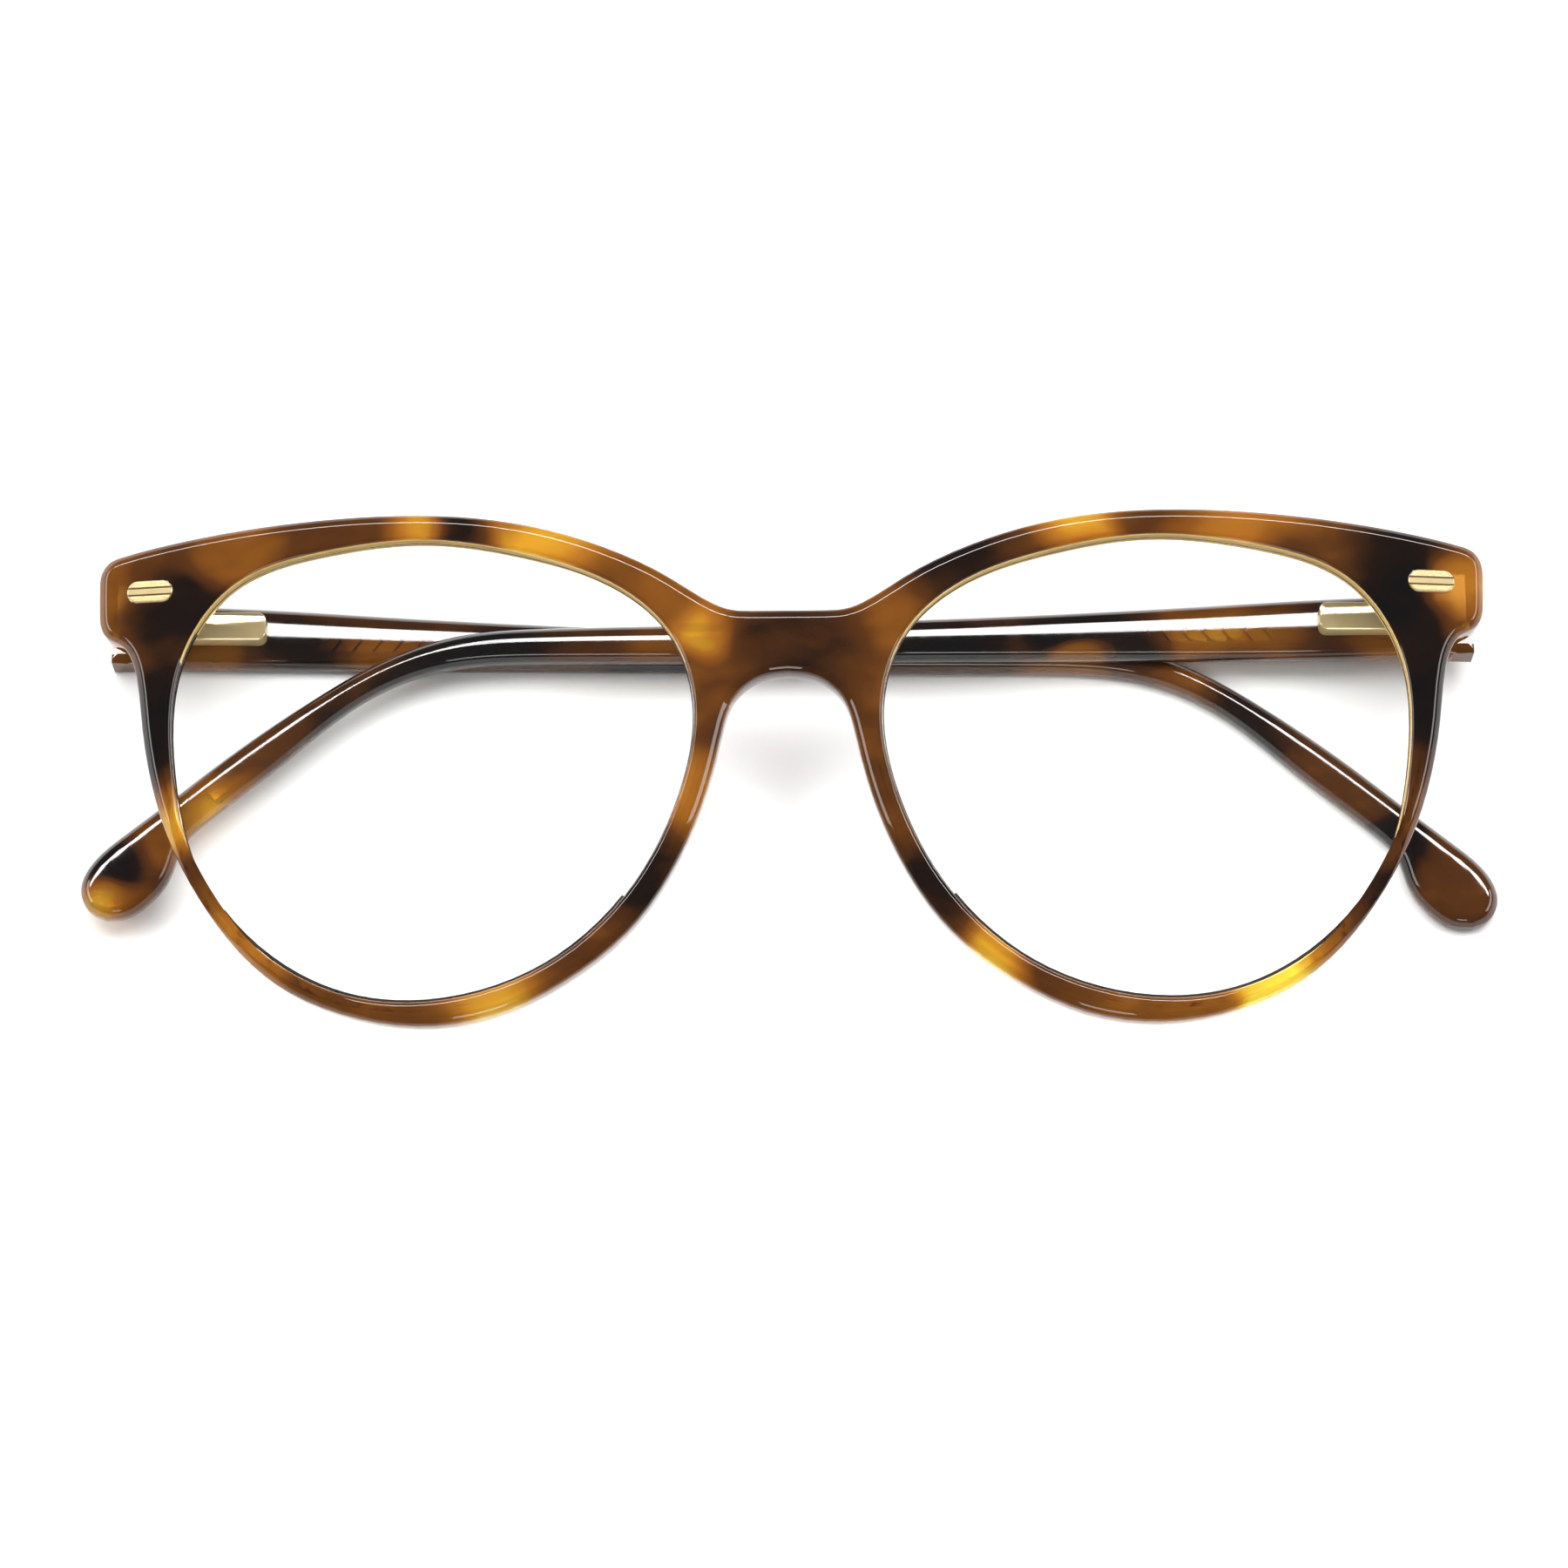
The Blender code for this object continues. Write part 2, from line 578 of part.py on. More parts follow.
def make_retainer(side_name, side, root):
    """Collar fixed in the bore, which the spring pushes against."""
    bm = bmesh.new()
    low, high, outer, inner = RETAINER
    ring_prism(bm, circle(outer, 20), circle(inner, 20), low, high)
    turn_mesh(bm, Z_TO_X)
    to_temple(bm, side)
    finish("spring_retainer_" + side_name, bm, MATERIALS["steel"], root)


def make_spring(side_name, side, root):
    """Coil spring, drawn at its shortest so that the slider's travel stays free."""
    low, high, radius, wire, turns = SPRING
    steps, sides = 10 * turns, 6
    bm = bmesh.new()
    rings = []
    for i in range(steps + 1):
        angle = 2 * math.pi * turns * i / steps
        middle = Vector((low + wire + (high - low - 2 * wire) * i / steps, radius * math.cos(angle),
                         radius * math.sin(angle)))
        out = Vector((0, math.cos(angle), math.sin(angle)))
        ring = []
        for k in range(sides):
            around = 2 * math.pi * k / sides
            away = math.cos(around) * out + math.sin(around) * Vector((1, 0, 0))
            ring.append(bm.verts.new(middle + wire * away))
        rings.append(ring)
    for one, two in zip(rings, rings[1:]):
        bridge(bm, one, two)
    bm.faces.new(rings[0])
    bm.faces.new(rings[-1])
    to_temple(bm, side)
    finish("flex_spring_" + side_name, bm, MATERIALS["steel"], root)


def wire_half_height(u):
    start, end, pitch, barb = BARBS
    if not start <= u <= end:
        return WIRE_HALF
    return WIRE_HALF + (barb - WIRE_HALF) * (1 - (u - start) % pitch / pitch)


def wire_loop(grow, start_u):
    """Outline of the core wire, with its barbed head, in u and v."""
    path = smooth_curve(WIRE_PATH)
    path = thin(path, *WIRE_SPACING)
    stations = [path[0] + (start_u - path[0][0], 0)]
    first, last, pitch, _ = BARBS
    for k in range(int(round((last - first) / pitch))):
        for u in (first + k * pitch + 0.01, first + (k + 1) * pitch - 0.01):
            stations.append(np.array([u, np.interp(u, path[:, 0], path[:, 1])]))
    stations += [p for p in path[1:] if p[0] > last + 1]
    stations = np.array(stations)
    along = np.gradient(stations, axis=0)
    along /= np.linalg.norm(along, axis=1)[:, None]
    normal = np.column_stack([-along[:, 1], along[:, 0]])
    halves = [BARBS[3] if grow and first <= u <= last else wire_half_height(u) for u in stations[:, 0]]
    reach = normal * (np.array(halves) + grow)[:, None]
    return counterclockwise(np.vstack([stations + reach, (stations - reach)[::-1]]))


def make_core_wire(side_name, side, root):
    bm = bmesh.new()
    prism(bm, wire_loop(0, WIRE_PATH[0][0]), WIRE_DEPTH - WIRE_HALF_THICK, WIRE_DEPTH + WIRE_HALF_THICK)
    to_temple(bm, side)
    finish("core_wire_" + side_name, bm, MATERIALS["steel"], root)


def temple_loop():
    body = thin(smooth_curve(TEMPLE_OUTLINE), *TEMPLE_SPACING)
    return counterclockwise(np.vstack([body, [(-BUTT, BUTT_BOTTOM)], [(-BUTT, BUTT_TOP)]]))


def make_temple(side_name, side, root):
    loop = temple_loop()
    share = np.clip((loop[:, 0] + BUTT) / BUTT_EASE, BUTT_ROUND, 1.0)
    outer_w = AXIS_IN + TEMPLE_THICK
    bm = bmesh.new()
    stations = [(inset, AXIS_IN + w) for inset, w in INNER_EDGE]
    stations += [(inset, outer_w + w) for inset, w in OUTER_ROUND]
    rings = [add_loop(bm, offset(loop, -inset * share), w) for inset, w in stations]
    for one, two in zip(rings, rings[1:]):
        bridge(bm, one, two)
    bmesh.ops.triangle_fill(bm, edges=loop_edges(bm, rings[0]), use_beauty=True)
    bmesh.ops.triangle_fill(bm, edges=loop_edges(bm, rings[-1]), use_beauty=True)
    for u in (6.0, 12.0, 18.0, TAPER_END):
        geom = bm.verts[:] + bm.edges[:] + bm.faces[:]
        bmesh.ops.bisect_plane(bm, geom=geom, dist=1e-5, plane_co=(u, 0, 0), plane_no=(1, 0, 0))
    for vert in bm.verts:
        if vert.co.z < outer_w - 1:
            taper = ramp((vert.co.x - TAPER_START) / (TAPER_END - TAPER_START))
            vert.co.z += (TEMPLE_THICK - TEMPLE_THIN) * taper
    to_temple(bm, side)
    temple = finish("temple_" + side_name, bm, MATERIALS["tortoise"], root)
    bm = bmesh.new()
    box(bm, (-BUTT - 1, -NOTCH_HALF, -1), (BOX_START, NOTCH_HALF, NOTCH_DEPTH))
    to_temple(bm, side)
    notch = cutter("knuckle_notch_" + side_name, bm, root)
    bm = bmesh.new()
    prism(bm, box_loop(FIT), -2, BOX_DEPTH + FIT)
    to_temple(bm, side)
    pocket = cutter("box_pocket_" + side_name, bm, root)
    bm = bmesh.new()
    reach = WIRE_HALF_THICK + WIRE_GAP
    prism(bm, wire_loop(WIRE_GAP, BOX_END - 0.4), WIRE_DEPTH - reach, WIRE_DEPTH + reach)
    to_temple(bm, side)
    channel = cutter("wire_channel_" + side_name, bm, root)
    for piece in (notch, pocket, channel):
        boolean(temple, piece)


clear_scene()
MATERIALS = {
    "tortoise": material("tortoise_acetate", (0.22, 0.07, 0.015), 0.12),
    "gold": material("gold_plate", (0.83, 0.66, 0.33), 0.25, metallic=1.0),
    "steel": material("spring_steel", (0.62, 0.60, 0.56), 0.3, metallic=1.0),
    "brass": material("cutter_guide", (0.7, 0.6, 0.3), 0.4),
    "clear": material("clear_lens", (0.95, 0.97, 0.97), 0.05, transmission=1.0),
}

# The front leans and rolls so that both folded temples lie flat, one over the other.
front_rest = empty("front_rest", (FRONT_X, FRONT_Y, FRONT_Z), (PANTO, -ROLL, 0))
hinge_empties = {}
for name, sign in NAMED_SIDES:
    axis_x = sign * HINGE_X * math.cos(ROLL)
    axis_z = AXIS_LOW + (STACK if sign > 0 else 0.0)
    hinge_empties[sign] = empty("hinge_axis_" + name, (axis_x, HINGE_Y + FRONT_Y, axis_z), (0, 0, 0))

make_front(front_rest, hinge_empties)
for name, sign in NAMED_SIDES:
    make_lens(name, sign, front_rest)
    make_nose_pad(name, sign, front_rest)
    make_plaque(name, sign, front_rest)
    make_front_hinge(name, hinge_empties[sign])
    make_screw(name, hinge_empties[sign])
    make_slider(name, sign, hinge_empties[sign])
    make_spring_box(name, sign, hinge_empties[sign])
    make_retainer(name, sign, hinge_empties[sign])
    make_spring(name, sign, hinge_empties[sign])
    make_core_wire(name, sign, hinge_empties[sign])
    make_temple(name, sign, hinge_empties[sign])
bpy.context.view_layer.update()
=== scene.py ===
import math

import bmesh
import bpy
import numpy as np
from mathutils import Matrix, Vector
from mathutils.kdtree import KDTree


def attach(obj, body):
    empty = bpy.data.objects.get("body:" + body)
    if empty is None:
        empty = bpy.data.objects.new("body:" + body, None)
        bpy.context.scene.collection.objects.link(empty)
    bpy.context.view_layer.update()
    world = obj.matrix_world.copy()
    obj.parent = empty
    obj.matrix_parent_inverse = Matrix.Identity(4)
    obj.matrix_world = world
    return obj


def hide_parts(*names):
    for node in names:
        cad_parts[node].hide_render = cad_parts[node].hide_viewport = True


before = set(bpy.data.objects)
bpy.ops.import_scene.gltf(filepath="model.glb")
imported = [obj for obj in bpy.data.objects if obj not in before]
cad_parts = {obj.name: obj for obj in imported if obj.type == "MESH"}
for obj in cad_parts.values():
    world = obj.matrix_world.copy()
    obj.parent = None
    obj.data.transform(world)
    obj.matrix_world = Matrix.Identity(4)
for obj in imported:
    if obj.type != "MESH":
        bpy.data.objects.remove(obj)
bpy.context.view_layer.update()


# ---------------------------------------------------------------- table and light
# The glasses lie folded on a plain white table under soft lamps. The fill lamps light the
# table and the acetate, and the shine lamps are only seen mirrored in what is polished.
def deselect():
    if bpy.context.object and bpy.context.object.mode == "EDIT":
        bpy.ops.object.mode_set(mode="OBJECT")
    bpy.ops.object.select_all(action="DESELECT")


deselect()
bpy.ops.mesh.primitive_plane_add(size=6.0, location=(0, 0, -0.00002))
table = bpy.context.object
table.name = "white_table"
bpy.ops.object.transform_apply(location=True, rotation=True, scale=True)
table_white = bpy.data.materials.new("table_white")
table_white.use_nodes = True
paint = table_white.node_tree.nodes["Principled BSDF"]
paint.inputs["Base Color"].default_value = (0.97, 0.97, 0.97, 1)
paint.inputs["Roughness"].default_value = 0.7
paint.inputs["Specular IOR Level"].default_value = 0.1
table.data.materials.append(table_white)


def softbox(name, tilt, turn, distance, long, wide, watts, shine):
    """A diffuser at tilt degrees from overhead, turned round from +Y, for shine or for fill."""
    deselect()
    t, a = math.radians(tilt), math.radians(turn)
    away = Vector((math.sin(t) * math.sin(a), math.sin(t) * math.cos(a), math.cos(t)))
    bpy.ops.object.light_add(type="AREA", location=away * distance)
    lamp = bpy.context.object
    lamp.name = name
    lamp.rotation_euler = away.to_track_quat("Z", "Y").to_euler()
    lamp.data.shape = "RECTANGLE"
    lamp.data.size, lamp.data.size_y = long, wide
    lamp.data.energy = watts
    lamp.visible_camera = False
    if shine:
        lamp.visible_diffuse = False
    else:
        lamp.visible_glossy = False


FILL, SHINE = False, True
for lamp_row in (
        ("fill_back", 16, 0, 0.75, 0.8, 0.45, 6.8, FILL),
        ("fill_left", 42, -75, 0.75, 0.6, 0.5, 2.5, FILL),
        ("fill_right", 42, 75, 0.75, 0.6, 0.5, 2.5, FILL),
        ("fill_front", 30, 180, 0.75, 0.8, 0.4, 1.1, FILL),
        ("shine_back", 24.3, 0, 0.75, 1.3, 0.075, 8.6, SHINE),
        ("shine_front", 73, 180, 0.8, 0.25, 0.12, 0.5, SHINE),
        ("shine_left", 66, -85, 0.8, 0.6, 0.3, 3, SHINE),
        ("shine_right", 66, 85, 0.8, 0.6, 0.3, 3, SHINE),
):
    softbox(*lamp_row)
world = bpy.data.worlds.new("pale_room")
bpy.context.scene.world = world
world.use_nodes = True
room = world.node_tree.nodes["Background"]
room.inputs["Color"].default_value = (1, 1, 1, 1)
room.inputs["Strength"].default_value = 0.16

bpy.context.scene.view_settings.view_transform = "Standard"
CAMERA_PLACE, CAMERA_TILT = (-0.00072, -0.1682, 0.4983), math.radians(19)
bpy.ops.object.camera_add(location=CAMERA_PLACE, rotation=(CAMERA_TILT, 0, 0))
camera = bpy.context.object
camera.data.lens = 119.6
camera.data.sensor_width = 36
camera.data.clip_start = 0.01
bpy.context.scene.camera = camera


# ---------------------------------------------------------------- front
# One piece of 4 mm tortoiseshell acetate, milled with its lens grooves, bent to the
# face and tumbled in barrels until its edges are round and its faces shine.
WRAP_RADIUS = 320.0
FRONT_THICK = 4.0
REAR_BAND = 0.66
SEAT = 10.1
ENDPIECE_X, ENDPIECE_Y, BLEND = 62.3, 13.2, 0.7
STRIP = 3
NEAR = 0.001
DROP = 1.29
PANTO = math.radians(8.0)
ROLL = math.asin(3.0 / 131.0)
FRONT_PLACE = (Matrix.Scale(0.001, 4) @ Matrix.Translation((-0.315, -DROP, 18.846))
               @ Matrix.Rotation(-ROLL, 4, "Y") @ Matrix.Rotation(PANTO, 4, "X"))
OUTLINE = [(0, 15.8), (3.6, 15.8), (5.8, 16.0), (8.0, 16.95), (12, 19.5), (16.5, 21.8), (22, 23.85),
           (28.5, 25.4), (36.3, 26.2), (46, 26.15), (55.5, 25.35), (62.5, 24.3), (66.6, 23.45),
           (68.1, 22.85), (68.85, 21.8), (69.05, 20.2), (69.0, 17.8), (68.75, 16.1), (68.1, 15.15),
           (66.7, 14.35), (65.6, 12.9), (64.9, 10.4), (64.3, 5.5), (63.4, 0.6), (61.8, -4.6),
           (59.3, -9.8), (55.4, -15.6), (50.2, -20.5), (43.5, -23.65), (36.0, -24.95), (28.5, -23.95),
           (21.3, -20.5), (15.4, -15.75), (11.1, -9.55), (8.3, -3.1), (6.9, 2.0), (6.2, 4.9),
           (5.3, 7.0), (3.7, 8.55), (1.9, 9.3), (0, 9.5)]
OPENING = [(35.4, 23.5), (26.2, 21.9), (17.6, 18.8), (11.6, 13.6), (9.2, 5.9), (10.7, -2.7),
           (15.15, -11.45), (22.85, -18.7), (32.7, -22.3), (43.1, -21.8), (52.1, -16.95), (58.4, -9.0),
           (61.1, 1.6), (60.5, 12.2), (55.2, 19.7), (46.3, 22.7)]
OUTER_EDGE = [(1.5, 0), (1.05, 0), (0.96, -0.005), (0.85, -0.022), (0.74, -0.058), (0.62, -0.125),
              (0.42, -0.29), (0.22, -0.47), (0.1, -0.6), (0.03, -0.75), (0, -0.95), (0, -3.35),
              (0.04, -3.6), (0.16, -3.82), (0.34, -3.95), (0.55, -4), (0.95, -4)]
OPENING_EDGE = [(1.0, 0), (0.5, 0), (0.38, -0.015), (0.26, -0.06), (0.14, -0.15), (0.05, -0.28),
                (0, -0.45), (0, -1.3), (1.0, -2), (0, -2.7), (0.12, -3.3), (0.25, -3.72), (0.36, -3.9),
                (0.5, -4), (0.8, -4)]


def spline(points, closed=False, per_span=24):
    """Points along the natural cubic spline through the given points."""
    pts = np.array(points, dtype=float)
    if closed:
        pts = np.vstack([pts, pts[:1]])
    count = len(pts)
    span = np.linalg.norm(np.diff(pts, axis=0), axis=1)
    slope = np.diff(pts, axis=0) / span[:, None]
    matrix = np.zeros((count, count))
    right = np.zeros((count, 2))
    for i in range(1, count - 1):
        matrix[i, i - 1:i + 2] = span[i], 2 * (span[i - 1] + span[i]), span[i - 1]
        right[i] = 3 * (span[i] * slope[i - 1] + span[i - 1] * slope[i])
    if closed:
        matrix[0, 0], matrix[0, -1] = 1, -1
        matrix[-1, 0], matrix[-1, 1] = 2 * span[-1], span[-1]
        matrix[-1, -1], matrix[-1, -2] = 2 * span[0], span[0]
        right[-1] = 3 * (span[0] * slope[-1] + span[-1] * slope[0])
    else:
        matrix[0, 0] = matrix[-1, -1] = 1
        right[0], right[-1] = slope[0], slope[-1]
    tangent = np.linalg.solve(matrix, right)
    out = []
    for i in range(count - 1):
        for t in np.arange(per_span) / per_span:
            a = (1 + 2 * t) * (1 - t) ** 2 * pts[i] + t * t * (3 - 2 * t) * pts[i + 1]
            b = t * (1 - t) ** 2 * tangent[i] + t * t * (t - 1) * tangent[i + 1]
            out.append(a + span[i] * b)
    if not closed:
        out.append(pts[-1])
    return np.array(out)


def spaced(points, max_step, max_turn):
    """Keep a point at each max_step of length or max_turn degrees of bend."""
    kept = [points[0]]
    length = turn = 0.0
    for before, here, after in zip(points[:-2], points[1:-1], points[2:]):
        one, two = here - before, after - here
        length += np.linalg.norm(one)
        turn += abs(math.degrees(math.atan2(one[0] * two[1] - one[1] * two[0], one @ two)))
        if length >= max_step or turn >= max_turn:
            kept.append(here)
            length = turn = 0.0
    kept.append(points[-1])
    return np.array(kept)


def offset(loop, distance):
    """A closed loop moved outwards, where outwards is right of its direction."""
    along = np.roll(loop, -1, axis=0) - np.roll(loop, 1, axis=0)
    along /= np.linalg.norm(along, axis=1)[:, None]
    return loop + np.column_stack([along[:, 1], -along[:, 0]]) * np.reshape(distance, (-1, 1))


def anticlockwise(loop):
    x, y = loop[:, 0], loop[:, 1]
    return loop if np.sum(x * np.roll(y, -1) - np.roll(x, -1) * y) > 0 else loop[::-1]


def from_line(loop, point):
    """How far a point is from a closed loop."""
    runs = np.roll(loop, -1, axis=0) - loop
    share = ((point - loop) * runs).sum(axis=1) / np.maximum((runs ** 2).sum(axis=1), 1e-12)
    return np.sqrt(((point - loop - runs * np.clip(share, 0, 1)[:, None]) ** 2).sum(axis=1).min())


def at_height(loop, z):
    return [Vector((p[0], p[1], z)) for p in loop]


def drawn_tube(name, rings):
    """A ring drawn as a circle, shaped, then extruded from each place to the next."""
    deselect()
    bpy.ops.mesh.primitive_circle_add(vertices=len(rings[0]), radius=1, fill_type="NOTHING")
    obj = bpy.context.object
    obj.name = name
    for vert, place in zip(obj.data.vertices, rings[0]):
        vert.co = place
    bpy.ops.object.mode_set(mode="EDIT")
    bpy.ops.mesh.select_all(action="SELECT")
    for here, there in zip(rings, rings[1:]):
        bpy.ops.mesh.extrude_region_move()
        tree = KDTree(len(here))
        for index, place in enumerate(here):
            tree.insert(place, index)
        tree.balance()
        bm = bmesh.from_edit_mesh(obj.data)
        for vert in bm.verts:
            if vert.select:
                vert.co = there[tree.find(vert.co)[1]]
        bmesh.update_edit_mesh(obj.data)
    bpy.ops.object.mode_set(mode="OBJECT")
    return obj


def joined(objects):
    deselect()
    for obj in objects:
        obj.select_set(True)
    bpy.context.view_layer.objects.active = objects[0]
    bpy.ops.object.join()
    return objects[0]


def edit(obj):
    deselect()
    obj.select_set(True)
    bpy.context.view_layer.objects.active = obj
    bpy.ops.object.mode_set(mode="EDIT")
    bpy.ops.mesh.select_mode(type="EDGE")
    bpy.ops.mesh.select_all(action="DESELECT")


def fill_open(obj, low, high):
    """Fills between the open edges that lie between two heights."""
    edit(obj)
    bm = bmesh.from_edit_mesh(obj.data)
    for edge in bm.edges:
        if edge.is_boundary and all(low <= v.co.z <= high for v in edge.verts):
            edge.select_set(True)
    bmesh.update_edit_mesh(obj.data)
    bpy.ops.mesh.fill(use_beauty=True)
    bpy.ops.object.mode_set(mode="OBJECT")


def slice_at(obj, points, normal):
    edit(obj)
    for point in points:
        bpy.ops.mesh.select_all(action="SELECT")
        bpy.ops.mesh.bisect(plane_co=point, plane_no=normal, threshold=1e-5)
    bpy.ops.object.mode_set(mode="OBJECT")


def set_place(obj, matrix):
    """Carries a piece drawn in millimetres to its place, with the place in its mesh."""
    obj.data.transform(matrix)
    obj.matrix_world = Matrix.Identity(4)
    edit(obj)
    bpy.ops.mesh.select_all(action="SELECT")
    bpy.ops.mesh.remove_doubles(threshold=1e-7)
    bpy.ops.mesh.normals_make_consistent(inside=False)
    bpy.ops.object.mode_set(mode="OBJECT")


def smooth(obj, degrees=35):
    deselect()
    obj.select_set(True)
    bpy.context.view_layer.objects.active = obj
    bpy.ops.object.shade_smooth_by_angle(angle=math.radians(degrees))


def cut_away(obj, tool):
    deselect()
    obj.select_set(True)
    bpy.context.view_layer.objects.active = obj
    cut = obj.modifiers.new("cut", "BOOLEAN")
    cut.operation, cut.solver, cut.object = "DIFFERENCE", "EXACT", tool
    bpy.ops.object.modifier_apply(modifier=cut.name)
    bpy.data.objects.remove(tool, do_unlink=True)


def wrap(x):
    return math.sqrt(WRAP_RADIUS ** 2 - x * x) - WRAP_RADIUS


def ramp(value):
    return min(max(value, 0.0), 1.0)


def bent_height(x, y, flat_z):
    """The flat height bent to the face, the rear of each endpiece carried to its hinge seat."""
    if flat_z > -FRONT_THICK + REAR_BAND:
        return wrap(x) + flat_z
    seat = (-SEAT - y * math.sin(PANTO)) / math.cos(PANTO)
    share = ramp((abs(x) - ENDPIECE_X) / BLEND) * ramp((y - ENDPIECE_Y) / BLEND)
    thin_rear = wrap(x) + flat_z
    return thin_rear + share * (seat + flat_z + FRONT_THICK - thin_rear)


half_outline = spaced(spline(OUTLINE), 1.7, 4.0)
outline = anticlockwise(np.vstack([half_outline, half_outline[1:-1][::-1] * (-1, 1)]))
dense = spline(OPENING, closed=True)
opening = anticlockwise(spaced(np.vstack([dense, dense[:1]]), 1.45, 3.0)[:-1])
openings = {1: opening, -1: anticlockwise(opening * (-1, 1))}

outer_rings = [at_height(offset(outline, -inset), z) for inset, z in OUTER_EDGE]
walls = [drawn_tube("front_acetate", outer_rings)]
for side in (1, -1):
    rings = [at_height(offset(openings[side], away), z) for away, z in OPENING_EDGE]
    walls.append(drawn_tube("opening_wall", rings))
front = joined(walls)
fill_open(front, -NEAR, NEAR)
fill_open(front, -FRONT_THICK - NEAR, -FRONT_THICK + NEAR)
slice_at(front, [(x, 0, 0) for x in range(-66, 67, STRIP)], (1, 0, 0))
slice_at(front, [(s * x, 0, 0) for s in (1, -1) for x in (ENDPIECE_X, ENDPIECE_X + BLEND)], (1, 0, 0))
slice_at(front, [(0, y, 0) for y in (ENDPIECE_Y, ENDPIECE_Y + BLEND)], (0, 1, 0))
for vert in front.data.vertices:
    vert.co.z = bent_height(*vert.co)

# the plaque's recess, sunk square to the bent surface
PLAQUE_X, PLAQUE_Y = 63.7, 19.5
PLAQUE_HALF, PLAQUE_RADIUS = 2.35, 1.08
RECESS_GAP, RECESS_FLOOR, CLEAR_ABOVE = 0.07, -0.55, 1.0


def on_front(side):
    x = side * PLAQUE_X
    turn = Matrix.Rotation(math.asin(x / WRAP_RADIUS), 4, "Y")
    return Matrix.Translation((x, PLAQUE_Y, wrap(x))) @ turn


def stadium(grow, steps=12):
    loop = []
    for centre, start in ((PLAQUE_HALF - PLAQUE_RADIUS, -90), (PLAQUE_RADIUS - PLAQUE_HALF, 90)):
        for step in range(steps + 1):
            angle = math.radians(start + step * 180 / steps)
            radius = PLAQUE_RADIUS + grow
            loop.append((centre + radius * math.cos(angle), radius * math.sin(angle)))
    return np.array(loop)


for side in (1, -1):
    tool = drawn_tube("recess", [at_height(stadium(RECESS_GAP), z) for z in (RECESS_FLOOR, CLEAR_ABOVE)])
    for z in (RECESS_FLOOR, CLEAR_ABOVE):
        fill_open(tool, z - NEAR, z + NEAR)
    tool.data.transform(on_front(side))
    cut_away(front, tool)
set_place(front, FRONT_PLACE)
smooth(front, 40)

# tortoiseshell: a block of amber acetate with brown and black chips folded in, so that
# each patch has a soft edge and goes through the sheet
BLACK, DARK, BROWN, RUST, AMBER, GOLD, LEMON = 0.02, 0.12, 0.33, 0.48, 0.66, 0.82, 1.0
FRONT_PATCHES = [
    (-67, 18, 3.5, 6, RUST), (-60, 18, 7, 7, DARK), (-63, 6, 4.5, 8, BLACK), (-61.2, -4, 4, 4.5, GOLD),
    (-59.3, -9, 3, 3.4, BROWN), (-54, -16, 6, 5, AMBER), (-42, -23, 8, 4.5, BROWN + 0.05),
    (-27.5, -23, 5, 4.5, GOLD), (-20.8, -18, 5, 5, BROWN), (-14, -10.5, 5, 7, DARK),
    (-9.2, -2, 2.8, 3.8, AMBER), (-8.4, 4, 2.8, 4, BROWN), (-8.4, 14.2, 3.4, 3, GOLD),
    (-12.8, 18, 3.4, 3.6, RUST), (-25, 23, 8, 4, GOLD), (-33.5, 25, 4, 3.5, DARK),
    (-38.2, 25.6, 3.2, 3.4, GOLD), (-47, 25, 8, 4, BROWN), (-55, 24, 4, 4, RUST),
    (0.6, 12.4, 7.6, 7, DARK + 0.07), (9.6, 14, 3.4, 4.6, RUST), (16.5, 21, 6, 4, DARK),
    (29, 25, 4.4, 3.6, GOLD), (34.6, 25.8, 2.8, 3, BROWN), (45, 25.8, 5, 4, AMBER),
    (59.8, 19, 6, 7, BLACK), (63, 8, 4, 7, BLACK), (66.8, 21, 3.8, 3.4, AMBER),
    (62, -3.5, 3.8, 6.5, BROWN), (58.5, -12.5, 3.6, 3.8, DARK), (48, -21.8, 7.5, 6, LEMON),
    (37, -24.3, 7, 4, RUST), (19.5, -18.5, 4, 5, GOLD), (14, -12, 4, 5, DARK), (9.8, -3, 3, 5, BROWN),
]


class Nodes:
    """Adds nodes to a material and links them from left to right."""

    def __init__(self, name):
        self.material = bpy.data.materials.new(name)
        self.material.use_nodes = True
        self.tree = self.material.node_tree
        self.shader = self.tree.nodes["Principled BSDF"]

    def add(self, kind, inputs=(), output=0, **settings):
        node = self.tree.nodes.new("ShaderNode" + kind)
        for key, value in settings.items():
            setattr(node, key, value)
        for socket, value in inputs:
            if isinstance(value, bpy.types.NodeSocket):
                self.tree.links.new(value, node.inputs[socket])
            else:
                node.inputs[socket].default_value = value
        return node.outputs[output]

    def between(self, share, dark, light):
        """A colour that goes from dark to light as share does."""
        return self.add("Mix", [(0, share), (6, (*dark, 1)), (7, (*light, 1))], output=2, data_type="RGBA")

    def to_shader(self, socket, value):
        if isinstance(value, bpy.types.NodeSocket):
            self.tree.links.new(value, self.shader.inputs[socket])
        else:
            self.shader.inputs[socket].default_value = value


TONES = [(0.0, (0.0025, 0.002, 0.002)), (0.14, (0.008, 0.0032, 0.0018)), (0.34, (0.07, 0.022, 0.0035)),
         (0.5, (0.2, 0.066, 0.006)), (0.66, (0.36, 0.13, 0.011)), (0.82, (0.62, 0.31, 0.018)),
         (1.0, (0.95, 0.78, 0.1))]


